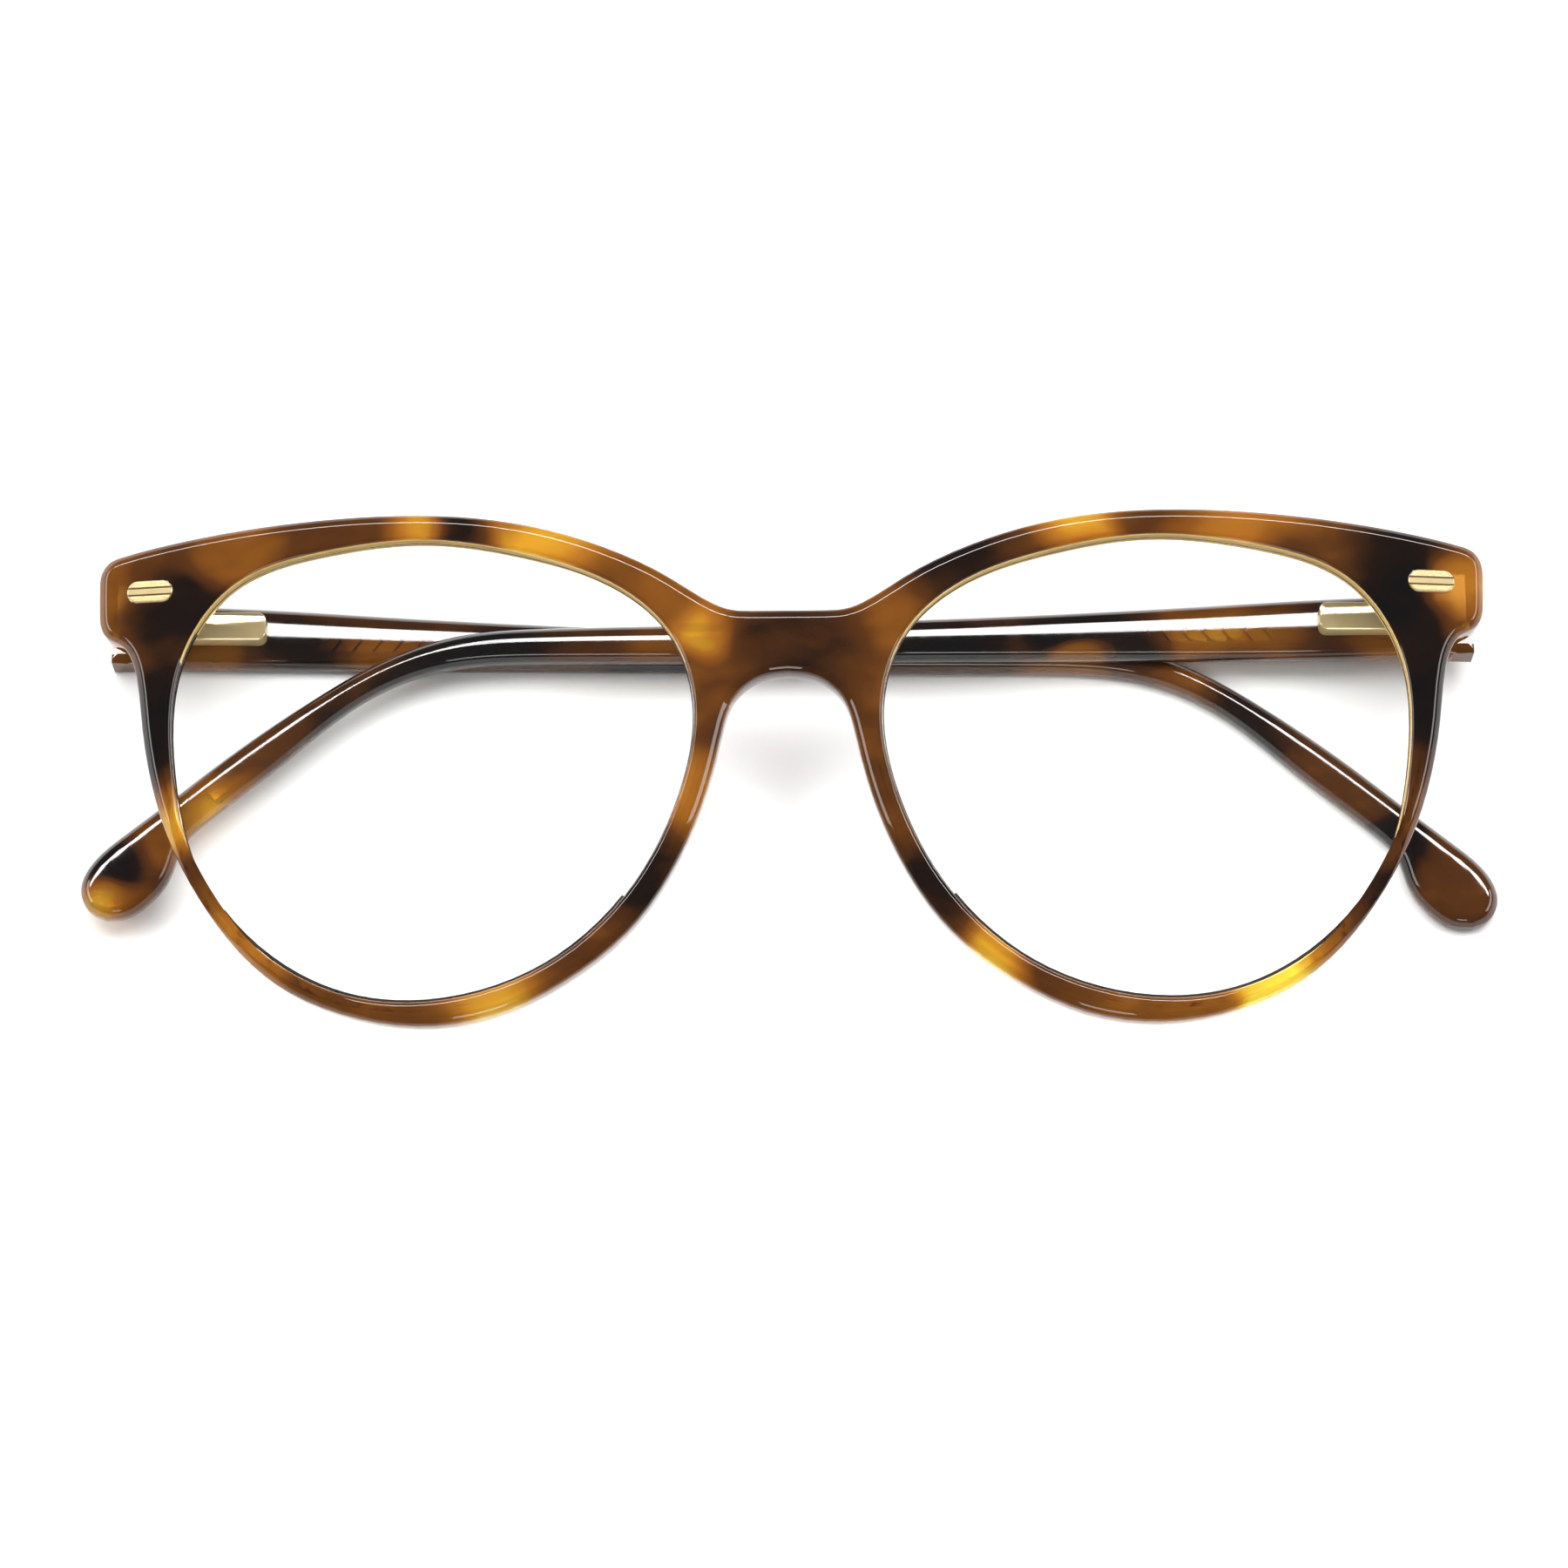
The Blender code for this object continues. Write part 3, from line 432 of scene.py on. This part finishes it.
def seen_barbs(add, millimetres, tone, start, end, middle, side):
    """The tone with the chevrons of a core wire's barbed head, which show through the acetate."""
    x = add("Math", [(0, add("SeparateXYZ", [(0, millimetres)])), (1, side)], operation="MULTIPLY")
    y = add("SeparateXYZ", [(0, millimetres)], output=1)
    off = add("Math", [(0, add("Math", [(0, y), (1, middle)], operation="SUBTRACT"))], operation="ABSOLUTE")
    lean = add("Math", [(0, off), (1, -0.75), (2, x)], operation="MULTIPLY_ADD")
    turn = add("Math", [(0, add("Math", [(0, lean), (1, 0.48)], operation="MULTIPLY"))], operation="FRACT")
    line = add("MapRange", [(0, turn), (1, 0.80), (2, 0.97), (3, 0.0), (4, 1.0)])
    inside = add("MapRange", [(0, off), (1, 1.0), (2, 1.25), (3, 1.0), (4, 0.0)])
    first = add("MapRange", [(0, x), (1, start - 0.4), (2, start + 0.4), (3, 0.0), (4, 1.0)])
    last = add("MapRange", [(0, x), (1, end - 0.6), (2, end + 0.6), (3, 1.0), (4, 0.0)])
    head = add("Math", [(0, inside), (1, add("Math", [(0, first), (1, last)], operation="MULTIPLY"))],
               operation="MULTIPLY")
    dark = add("Math", [(0, line), (1, head)], operation="MULTIPLY")
    tone = add("Math", [(0, head), (1, 0.07), (2, tone)], operation="MULTIPLY_ADD")
    return add("Math", [(0, dark), (1, -0.26), (2, tone)], operation="MULTIPLY_ADD", use_clamp=True)


def tortoise(name, patches, ground, clarity=0.6, barbs=None, painted_glow=0.0):
    """Tortoiseshell acetate: patches are (x, y, half width, half height, tone) in millimetres.

    barbs is (start, end, middle y, side) of a core wire's barbed head seen inside. clarity is how
    far light goes through its palest patches, and painted_glow is how much paler its edges are painted
    than its faces, a painted glow of light through the thin edges."""
    made = Nodes(name)
    add = made.add
    where = add("TexCoord", output=3)
    millimetres = add("VectorMath", [(0, where), (3, 1000.0)], operation="SCALE")
    drift = add("TexNoise", [("Vector", where), ("Scale", 130.0), ("Detail", 0.6)], output=1)
    drift = add("VectorMath", [(0, drift), (1, (0.5, 0.5, 0.5))], operation="SUBTRACT")
    drift = add("VectorMath", [(0, drift), (3, 5.0)], operation="SCALE")
    place = add("VectorMath", [(0, millimetres), (1, drift)], operation="ADD")
    clouds = add("TexNoise", [("Vector", where), ("Scale", 90.0), ("Detail", 1.0)])
    tone = add("MapRange", [(0, clouds), (1, 0.3), (2, 0.7), (3, ground - 0.1), (4, ground + 0.1)])
    for x, y, half_x, half_y, shade in patches:
        away = add("VectorMath", [(0, place), (1, (x, y - DROP, 0))], operation="SUBTRACT")
        away = add("VectorMath", [(0, away), (1, (1 / half_x, 1 / half_y, 0))], operation="MULTIPLY")
        reach = add("VectorMath", [(0, away)], operation="LENGTH", output=1)
        mask = add("MapRange", [(0, reach), (1, 0.25), (2, 1.45), (3, 1.0), (4, 0.0)],
                   interpolation_type="SMOOTHSTEP")
        tone = add("Mix", [(0, mask), (2, tone), (3, shade)])
    streaks = add("TexNoise", [("Vector", add("VectorMath", [(0, place), (1, (0.45, 0.8, 0.5))],
                                              operation="MULTIPLY")),
                               ("Scale", 0.5), ("Detail", 1.5)])
    streaks = add("MapRange", [(0, streaks), (1, 0.25), (2, 0.75), (3, -0.05), (4, 0.05)])
    tone = add("Math", [(0, tone), (1, streaks)], operation="ADD", use_clamp=True)
    if barbs:
        tone = seen_barbs(add, millimetres, tone, *barbs)
    # painted light: faces turned away from upright are painted paler, a painted glow of light through the
    # acetate's edges
    upright = add("Math", [(0, add("SeparateXYZ", [(0, add("TexCoord", output=1))], output=2))],
                  operation="ABSOLUTE")
    painted_edge_glow = add("MapRange", [(0, upright), (1, 0.85), (2, 0.2), (3, 0.0), (4, painted_glow)])
    tone = add("Math", [(0, tone), (1, painted_edge_glow)], operation="ADD", use_clamp=True)
    ramp_node = made.tree.nodes.new("ShaderNodeValToRGB")
    made.tree.links.new(tone, ramp_node.inputs[0])
    stops = ramp_node.color_ramp.elements
    stops[0].position, stops[0].color = TONES[0][0], (*TONES[0][1], 1)
    stops[1].position, stops[1].color = TONES[-1][0], (*TONES[-1][1], 1)
    for position, colour in TONES[1:-1]:
        stop = stops.new(position)
        stop.color = (*colour, 1)
    made.to_shader("Base Color", ramp_node.outputs[0])
    through = add("MapRange", [(0, tone), (1, 0.25), (2, 0.9), (3, 0.0), (4, clarity)])
    made.to_shader("Transmission Weight", through)
    polish = add("TexNoise", [("Vector", where), ("Scale", 900.0), ("Detail", 2.0)])
    made.to_shader("Roughness", add("MapRange", [(0, polish), (1, 0.3), (2, 0.7), (3, 0.03), (4, 0.06)]))
    made.to_shader("IOR", 1.49)
    return made.material


front_shell = tortoise("tortoise_front", FRONT_PATCHES, 0.38, painted_glow=0.13)


# painted light: a bright gold glow, standing in for light through the acetate, for the wall faces of the
# lens openings counted as lit
def painted_wall_glow():
    made = Nodes("acetate_wall_painted_glow")
    where = made.add("TexCoord", output=3)
    painted_glow = made.add("TexNoise", [("Vector", where), ("Scale", 160.0), ("Detail", 1.0)])
    made.to_shader("Base Color", made.between(painted_glow, (0.62, 0.36, 0.07), (0.95, 0.72, 0.26)))
    made.to_shader("Roughness", made.add("MapRange", [(0, painted_glow), (3, 0.12), (4, 0.3)]))
    return made.material


wall_glow_paint = painted_wall_glow()
front.data.materials.append(front_shell)
front.data.materials.append(wall_glow_paint)
RIM_CENTRE = (35.2, 0.3)
WALL_TOP, WALL_BOTTOM = 0.25, 3.0
WALL_LEAST_X, WALL_MOST_X = 8.5, 62.1
LIT_SIDE_X = 40.0
to_flat = FRONT_PLACE.inverted()
# painted light: only the lit wall faces below take the bright gold glow; the rest keep the tortoiseshell
for face in front.data.polygons:
    middle = to_flat @ face.center
    depth = wrap(middle.x) - middle.z
    normal = (to_flat.to_3x3() @ face.normal).normalized()
    centre = Vector((math.copysign(RIM_CENTRE[0], middle.x), RIM_CENTRE[1], 0))
    inward = (centre - middle).xy.normalized().dot(normal.xy)
    lit = normal.y < -0.3 or (middle.x > LIT_SIDE_X and normal.y < 0.4)
    on_wall = WALL_TOP < depth < WALL_BOTTOM and WALL_LEAST_X < abs(middle.x) < WALL_MOST_X
    if on_wall and lit and inward > 0.3:
        face.material_index = 1
# the front is left out of reflections, because it would cut the temples' long highlight
front.visible_glossy = False
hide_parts("front")
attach(front, "front")


# ---------------------------------------------------------------- nose pads
# Two crescents of the same acetate, bonded behind the rims beside the nose and
# rounded over to sit on it.
PAD_CENTRE, PAD_RADII = (9.95, -3.0), (1.05, 6.6, 4.2)
PAD_LEAN, PAD_SPLAY, PAD_GAP = math.radians(22), math.radians(-8), 0.2


def nose_pad(name, side):
    deselect()
    bpy.ops.mesh.primitive_uv_sphere_add(segments=48, ring_count=28, radius=1.0)
    pad = bpy.context.object
    pad.name = name
    lean = Matrix.Rotation(PAD_LEAN, 4, "Z")
    splay = Matrix.Rotation(PAD_SPLAY, 4, "Y")
    swell = Matrix.Diagonal((*PAD_RADII, 1))
    pad.data.transform(Matrix.Translation((*PAD_CENTRE, -FRONT_THICK)) @ lean @ splay @ swell)
    edit(pad)
    bpy.ops.mesh.select_all(action="SELECT")
    bpy.ops.mesh.bisect(plane_co=(0, 0, -FRONT_THICK - PAD_GAP), plane_no=(0, 0, 1), clear_outer=True,
                        use_fill=True)
    bpy.ops.object.mode_set(mode="OBJECT")
    pad.data.transform(Matrix.Diagonal((side, 1, 1, 1)))
    set_place(pad, FRONT_PLACE)
    smooth(pad, 50)
    pad.data.materials.append(front_shell)
    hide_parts(name.replace("_acetate", ""))
    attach(pad, "front")


nose_pad("nose_pad_left_acetate", 1)
nose_pad("nose_pad_right_acetate", -1)


# ---------------------------------------------------------------- lenses
# Clear demonstration lenses in plastic, edged to a point all round and snapped into the
# front's grooves. A band of each lens face along its edge is painted near-black, painted shade
# for the ground edge and groove seen through the rim of the lens, wider along the bottom.
GROOVE_Z = -2.0
LENS_THICK, LENS_CROWN = 1.3, 1.0
LENS_GAP, RIDGE_OUT = 0.06, 0.72
LENS_RINGS = (1.0, 0.9955, 0.986, 0.9, 0.75, 0.6, 0.45, 0.3, 0.15)
EDGE_SHADE_WIDTH, LOW_EDGE_SHADE_WIDTH, LOW_RIM_Y = 0.1, 0.3, -13


def clear_lens():
    made = Nodes("clear_lens")
    tree = made.tree
    gloss = made.add("BsdfGlossy", [("Color", (1, 1, 1, 1)), ("Roughness", 0.02)])
    clear = made.add("BsdfTransparent", [("Color", (0.99, 0.995, 0.992, 1))])
    smear = made.add("TexNoise", [("Vector", made.add("TexCoord", output=3)), ("Scale", 60.0)])
    grazing = made.add("Math", [(0, made.add("LayerWeight", output=1)), (1, 4.0)], operation="POWER")
    coating = made.add("MapRange", [(0, smear), (3, 0.25), (4, 0.4)])
    mirrored = made.add("Math", [(0, grazing), (1, coating), (2, 0.008)], operation="MULTIPLY_ADD")
    mixed = made.add("MixShader", [(0, mirrored), (1, clear), (2, gloss)])
    tree.links.new(mixed, tree.nodes["Material Output"].inputs["Surface"])
    return made.material


def painted_edge_shade():
    made = Nodes("lens_edge_painted_shade")
    shade_grain = made.add("TexNoise", [("Vector", made.add("TexCoord", output=3)), ("Scale", 700.0)])
    made.to_shader("Base Color", made.between(shade_grain, (0.012, 0.008, 0.006), (0.04, 0.026, 0.018)))
    made.to_shader("Roughness", made.add("MapRange", [(0, shade_grain), (3, 0.2), (4, 0.4)]))
    return made.material


lens_material, edge_shade_material = clear_lens(), painted_edge_shade()


def lens(name, side, node):
    hole = openings[side]
    centre = np.array([side * RIM_CENTRE[0], RIM_CENTRE[1]])
    edge = offset(hole, -LENS_GAP)
    faces = []
    for lift in (LENS_THICK / 2, -LENS_THICK / 2):
        rings = []
        for share in LENS_RINGS:
            crown = LENS_CROWN * (1 - share * share)
            rings.append(at_height(centre + (edge - centre) * share, GROOVE_Z + lift + crown))
        faces.append(rings)
    ridge = at_height(offset(hole, RIDGE_OUT), GROOVE_Z)
    top, bottom = faces
    glass = drawn_tube(name, top[::-1] + [ridge] + bottom)
    edit(glass)
    bm = bmesh.from_edit_mesh(glass.data)
    for high in (True, False):
        bmesh.ops.contextual_create(bm, geom=[
            e for e in bm.edges if e.is_boundary and (e.verts[0].co.z > GROOVE_Z + LENS_CROWN) == high])
    bmesh.update_edit_mesh(glass.data)
    bpy.ops.object.mode_set(mode="OBJECT")
    # painted shade: lens faces near the edge take the near-black material, in a wider band along the bottom
    for face in glass.data.polygons:
        wide = LOW_EDGE_SHADE_WIDTH if face.center.y < LOW_RIM_Y else EDGE_SHADE_WIDTH
        if face.center.z > GROOVE_Z + 0.5 and from_line(edge, np.array(face.center.xy)) < wide:
            face.material_index = 1
    for vert in glass.data.vertices:
        vert.co.z += wrap(vert.co.x)
    glass.data.materials.append(lens_material)
    glass.data.materials.append(edge_shade_material)
    set_place(glass, FRONT_PLACE)
    smooth(glass, 25)
    # the lenses cast no shadow, so the table seen through them keeps its own shade
    glass.visible_shadow = False
    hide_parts(node)
    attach(glass, "front")


lens("lens_left_clear", 1, "lens_left")
lens("lens_right_clear", -1, "lens_right")


# ---------------------------------------------------------------- plaques
# Small gold-plated bars let into the endpieces: a smooth band between two stippled
# ones, with a fine line rolled on either side of it, held by two pins behind.
def gold(name, colour, roughness, stipple=0.0, scale=9000.0):
    made = Nodes(name)
    where = made.add("TexCoord", output=3)
    grain = made.add("TexNoise", [("Vector", where), ("Scale", scale), ("Detail", 3.0)])
    wear = made.add("TexNoise", [("Vector", where), ("Scale", 500.0), ("Detail", 2.0)])
    darker = tuple(0.82 * c for c in colour)
    made.to_shader("Base Color", made.between(wear, darker, colour))
    made.to_shader("Metallic", 0.4)
    low, high = roughness
    made.to_shader("Roughness", made.add("MapRange", [(0, grain), (1, 0.3), (2, 0.7), (3, low), (4, high)]))
    if stipple:
        bump = made.add("Bump", [("Strength", stipple), ("Distance", 0.00003), ("Height", grain)])
        made.to_shader("Normal", bump)
    return made.material


PALE_GOLD = (0.78, 0.62, 0.32)
smooth_gold = gold("gold_smooth", PALE_GOLD, (0.1, 0.16), 0.1)
stippled_gold = gold("gold_stippled", (0.66, 0.5, 0.24), (0.16, 0.3), 1.0, 7000.0)
# painted shade: a dark gold for the rolled lines and the bar's sides, where shade falls
groove_shade_gold = gold("gold_painted_groove_shade", (0.2, 0.13, 0.05), (0.3, 0.5), 0.1)
GROOVE_Y, GROOVE_WIDE, GROOVE_DEEP = 0.36, 0.09, 0.11
PLAQUE_PROUD, PLAQUE_BACK = 0.15, -0.4
PLAQUE_EDGE, PLAQUE_EDGE_DROP, SHADE_BELOW = 0.12, 0.1, 0.12
PLAQUE_COLUMNS = 72


def plaque(name, side, node):
    across = [-1.0, -0.997, -0.985, -0.965, -0.93, -0.88, -0.82, -0.75, -0.66, -0.56, -0.46]
    levels = [r * PLAQUE_RADIUS for r in across]
    levels += [-GROOVE_Y - GROOVE_WIDE, -GROOVE_Y, -GROOVE_Y + GROOVE_WIDE, -0.15, 0.0]
    levels += [-y for y in levels[-2::-1]]
    deselect()
    bpy.ops.mesh.primitive_grid_add(x_subdivisions=PLAQUE_COLUMNS, y_subdivisions=len(levels) - 1, size=2)
    bar = bpy.context.object
    bar.name = name
    rows = len(levels)
    for vert in bar.data.vertices:
        row = min(int(round((vert.co.y + 1) / 2 * (rows - 1))), rows - 1)
        y = levels[row]
        end = PLAQUE_HALF - PLAQUE_RADIUS + math.sqrt(max(PLAQUE_RADIUS ** 2 - y * y, 0.0))
        share = math.sin(vert.co.x * math.pi / 2)
        x = end * share
        beyond = max(abs(x) - (PLAQUE_HALF - PLAQUE_RADIUS), 0.0)
        inside = PLAQUE_RADIUS - math.hypot(beyond, y)
        drop = PLAQUE_EDGE_DROP * max(1 - inside / PLAQUE_EDGE, 0.0) ** 2
        if abs(abs(y) - GROOVE_Y) < GROOVE_WIDE / 2:
            drop += GROOVE_DEEP
        vert.co = (x, y, PLAQUE_PROUD - drop)
    edit(bar)
    bpy.ops.mesh.select_all(action="SELECT")
    bpy.ops.mesh.extrude_region_move()
    bm = bmesh.from_edit_mesh(bar.data)
    for vert in bm.verts:
        if vert.select:
            vert.co.z = PLAQUE_BACK
    bmesh.update_edit_mesh(bar.data)
    bpy.ops.object.mode_set(mode="OBJECT")
    bar.data.materials.append(smooth_gold)
    bar.data.materials.append(stippled_gold)
    bar.data.materials.append(groove_shade_gold)
    for face in bar.data.polygons:
        from_groove = abs(face.center.y) - GROOVE_Y
        face.material_index = 1 if from_groove > 0 else 0
        # painted shade: faces in the rolled lines and down the bar's sides take the dark gold
        if abs(from_groove) < GROOVE_WIDE or face.center.z < PLAQUE_PROUD - SHADE_BELOW:
            face.material_index = 2
    bar.data.transform(on_front(side))
    set_place(bar, FRONT_PLACE)
    smooth(bar, 40)
    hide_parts(node)
    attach(bar, "front")


plaque("plaque_left_gold", 1, "plaque_left")
plaque("plaque_right_gold", -1, "plaque_right")


# ---------------------------------------------------------------- temples
# Two arms of the same acetate, shot with a steel core wire while hot, milled, rounded
# along both faces and bent down behind the ear.
HINGE = {1: Vector((65.483, 18.61, 6.6)), -1: Vector((-65.483, 18.61, 3.6))}
INNER_FACE, OUTER_FACE, TAPER = 0.4, 3.6, 0.4
BUTT = -3.4
UPPER_EDGE = [(-3.4, 3.15), (2, 3.15), (10, 2.95), (28, 1.95), (53, 0.75), (78, 0.1), (91, -0.25),
              (98.4, -0.9), (104, -2.5), (113.7, -7.9), (121, -13.2), (128.2, -19.1), (132.3, -22.4),
              (135.3, -25.4), (136.17, -28.2), (134.9, -30.4), (133.6, -30.95)]
LOWER_EDGE = [(-3.4, -3.25), (2, -3.3), (10, -3.4), (28, -3.47), (53, -3.55), (76, -3.7), (91, -3.75),
              (98.0, -4.1), (103.6, -5.4), (110.4, -9.2), (117, -14.9), (124.2, -20.9), (126.3, -23.3),
              (127.3, -26.3), (129.3, -29.2), (132.2, -30.9), (133.6, -30.95)]
ACROSS = [0.0, 0.03, 0.07, 0.12, 0.18, 0.25, 0.34, 0.46, 0.62, 0.8, 1.0]
EDGE_ROUND, EDGE_SINK, FACE_CROWN = 1.25, 1.05, 0.16
OUTER_ROUND, OUTER_SINK = 0.7, 0.65
NOTCH_MIDDLE, NOTCH_SIZE = (-1.3, 0, 0.5), (6.4, 4.7, 3.0)


def at_hinge(side):
    """From a temple's own lengths, in millimetres from its screw, to its place."""
    return Matrix.Scale(0.001, 4) @ Matrix.Translation(HINGE[side]) @ Matrix.Diagonal((-side, 1, -1, 1))


def temple(name, side, node, shell):
    upper, lower = spline(UPPER_EDGE, per_span=14), spline(LOWER_EDGE, per_span=14)
    rows = len(upper)
    rim = np.vstack([upper, lower[::-1][1:]])
    columns = [f / 2 for f in ACROSS] + [1 - f / 2 for f in ACROSS[-2::-1]]
    deselect()
    bpy.ops.mesh.primitive_grid_add(x_subdivisions=rows - 1, y_subdivisions=len(columns) - 1, size=2)
    arm = bpy.context.object
    arm.name = name
    edit(arm)
    bpy.ops.mesh.select_all(action="SELECT")
    bpy.ops.mesh.extrude_region_move(TRANSFORM_OT_translate={"value": (0, 0, 1)})
    bpy.ops.object.mode_set(mode="OBJECT")
    for vert in arm.data.vertices:
        row = int(round((vert.co.x + 1) / 2 * (rows - 1)))
        column = columns[int(round((vert.co.y + 1) / 2 * (len(columns) - 1)))]
        u, v = lower[row] + (upper[row] - lower[row]) * column
        depth = from_line(rim, np.array((u, v)))
        width = np.linalg.norm(upper[row] - lower[row]) / 2
        ease = min(1.0, 0.25 + (u - BUTT) / 6.0)
        if vert.co.z < 0.5:
            curve = max(1 - depth / EDGE_ROUND, 0.0)
            sink = EDGE_SINK * curve ** 2.4 * ease
            middle = 1 - (2 * column - 1) ** 2
            crown = FACE_CROWN * (1 - middle) * min(width / 3, 1.0)
            w = INNER_FACE + TAPER * ramp((u - 4) / 20) + sink + crown * ramp((u + 2) / 4)
        else:
            curve = max(1 - depth / OUTER_ROUND, 0.0)
            w = OUTER_FACE - OUTER_SINK * curve ** 2.2 * ease
        vert.co = (u, v, w)
    # the notch that the front hinge's knuckles turn in
    deselect()
    bpy.ops.mesh.primitive_cube_add(size=1)
    notch = bpy.context.object
    notch.data.transform(Matrix.Translation(NOTCH_MIDDLE) @ Matrix.Diagonal((*NOTCH_SIZE, 1)))
    edit(arm)
    bpy.ops.mesh.select_all(action="SELECT")
    bpy.ops.mesh.remove_doubles(threshold=1e-4)
    bpy.ops.mesh.normals_make_consistent(inside=False)
    bpy.ops.object.mode_set(mode="OBJECT")
    cut_away(arm, notch)
    set_place(arm, at_hinge(side))
    smooth(arm, 40)
    arm.data.materials.append(shell)
    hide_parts(node)
    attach(arm, node)


LEFT_PATCHES = [
    (62, 18, 6, 5, AMBER), (50, 19, 4, 5, RUST), (43, 19, 7, 3, AMBER), (34, 17, 4, 4, DARK),
    (27, 19, 5, 3, BLACK), (29, 15.5, 4, 2, AMBER), (14, 17, 8, 4, BLACK), (3, 17, 5, 4, DARK),
    (-6, 17, 6, 4, BLACK), (-14, 16, 5, 3, RUST), (-24, 16, 6, 3, BROWN), (-30, 17, 7, 3, BLACK),
    (-36, 13, 6, 5, BLACK), (-45, 8, 5, 5, DARK), (-52, 4, 4, 4, BROWN), (-57.5, -1.5, 5.5, 5, GOLD),
    (-64, -4, 3.5, 3, RUST), (-67, -6.5, 3.5, 4.4, BLACK), (-68.5, -10.6, 3.6, 2.6, GOLD),
]
RIGHT_PATCHES = [
    (-66, 16, 5, 4, RUST), (-58, 17, 5, 4, AMBER), (-50, 18, 6, 4, DARK), (-42, 17, 5, 4, RUST),
    (-33, 17, 5, 4, BROWN), (-25, 20, 8, 3, DARK), (-12, 17, 7, 4, BLACK), (2, 17, 6, 4, DARK),
    (14, 17, 6, 4, BROWN), (28, 15, 5, 4, AMBER), (37, 13, 6, 4, RUST), (46, 8, 5, 5, DARK),
    (54, 2, 6, 5, BROWN), (61, -3, 4, 4, BLACK), (67, -8, 5, 6, BROWN),
]
CORE_HEAD = 37.5, 48.5, 17.75
left_shell = tortoise("tortoise_left_temple", LEFT_PATCHES, 0.3, 0.85, (*CORE_HEAD, 1.0))
right_shell = tortoise("tortoise_right_temple", RIGHT_PATCHES, 0.3, 0.85, (*CORE_HEAD, -1.0))
temple("temple_left_acetate", 1, "temple_left", left_shell)
temple("temple_right_acetate", -1, "temple_right", right_shell)


# ---------------------------------------------------------------- spring hinge boxes
# Gold-plated housings, one let into the inner face of each temple. It is hollow, and holds
# the sprung slider that the temple turns on.
BOX_START, BOX_END, BOX_HALF = 1.9, 12.3, 1.45
BOX_CORNER, BOX_EDGE, BOX_TILT = 0.85, 0.16, 0.03
CHANNEL_MIDDLE, CHANNEL_SIZE = (3.0, 0, 0), (4.8, 1.6, 1.9)
bright_gold = gold("gold_polished", (0.9, 0.7, 0.36), (0.05, 0.08), 0.03)


def spring_box(name, side, node, body):
    deselect()
    bpy.ops.mesh.primitive_cube_add(size=1)
    housing = bpy.context.object
    housing.name = name
    middle = (BOX_START + BOX_END) / 2
    sizes = Matrix.Diagonal((BOX_END - BOX_START, 2 * BOX_HALF, 2 * BOX_HALF, 1))
    housing.data.transform(Matrix.Translation((middle, 0, 0)) @ sizes)
    edit(housing)
    bm = bmesh.from_edit_mesh(housing.data)
    for edge in bm.edges:
        upright = abs(edge.verts[0].co.z - edge.verts[1].co.z) > 1
        if upright and edge.verts[0].co.x > middle:
            edge.select_set(True)
    bmesh.update_edit_mesh(housing.data)
    bpy.ops.mesh.bevel(offset=BOX_CORNER, segments=8, affect="EDGES")
    bpy.ops.mesh.select_all(action="DESELECT")
    bm = bmesh.from_edit_mesh(housing.data)
    for edge in bm.edges:
        if all(abs(v.co.z + BOX_HALF) < 0.01 for v in edge.verts):
            edge.select_set(True)
    bmesh.update_edit_mesh(housing.data)
    bpy.ops.mesh.bevel(offset=BOX_EDGE, segments=3, affect="EDGES")
    bpy.ops.object.mode_set(mode="OBJECT")
    for vert in housing.data.vertices:
        if vert.co.z < 0:
            vert.co.z += BOX_TILT * (BOX_HALF - vert.co.y)
    deselect()
    bpy.ops.mesh.primitive_cube_add(size=1)
    channel = bpy.context.object
    channel.data.transform(Matrix.Translation(CHANNEL_MIDDLE) @ Matrix.Diagonal((*CHANNEL_SIZE, 1)))
    cut_away(housing, channel)
    set_place(housing, at_hinge(side))
    smooth(housing, 25)
    housing.data.materials.append(bright_gold)
    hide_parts(node)
    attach(housing, body)


spring_box("spring_box_left_gold", 1, "spring_box_left", "temple_left")
spring_box("spring_box_right_gold", -1, "spring_box_right", "temple_right")


# ---------------------------------------------------------------- hinges, springs and wires
# Hinge leaves, screws and sliders, turned and stamped, then gold plated. The springs, their
# collars and the core wires inside the temples are drawn steel, left plain.
def steel():
    made = Nodes("spring_steel_drawn")
    where = made.add("TexCoord", output=3)
    stretched = made.add("Mapping", [("Vector", where), ("Scale", (200.0, 4000.0, 4000.0))])
    lines = made.add("TexNoise", [("Vector", stretched), ("Scale", 1.0), ("Detail", 3.0)])
    made.to_shader("Base Color", made.between(lines, (0.42, 0.4, 0.38), (0.66, 0.64, 0.61)))
    made.to_shader("Metallic", 1.0)
    made.to_shader("Roughness", made.add("MapRange", [(0, lines), (3, 0.25), (4, 0.42)]))
    return made.material


drawn_steel = steel()
turned_gold = gold("gold_turned", (0.88, 0.72, 0.42), (0.2, 0.36), 0.1, 3000.0)
for part_names, metal in ((("front_hinge", "hinge_screw", "spring_slider"), turned_gold),
                          (("flex_spring", "spring_retainer", "core_wire"), drawn_steel)):
    for part_name in part_names:
        for hand in ("left", "right"):
            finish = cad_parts[part_name + "_" + hand].data.materials
            finish.clear()
            finish.append(metal)
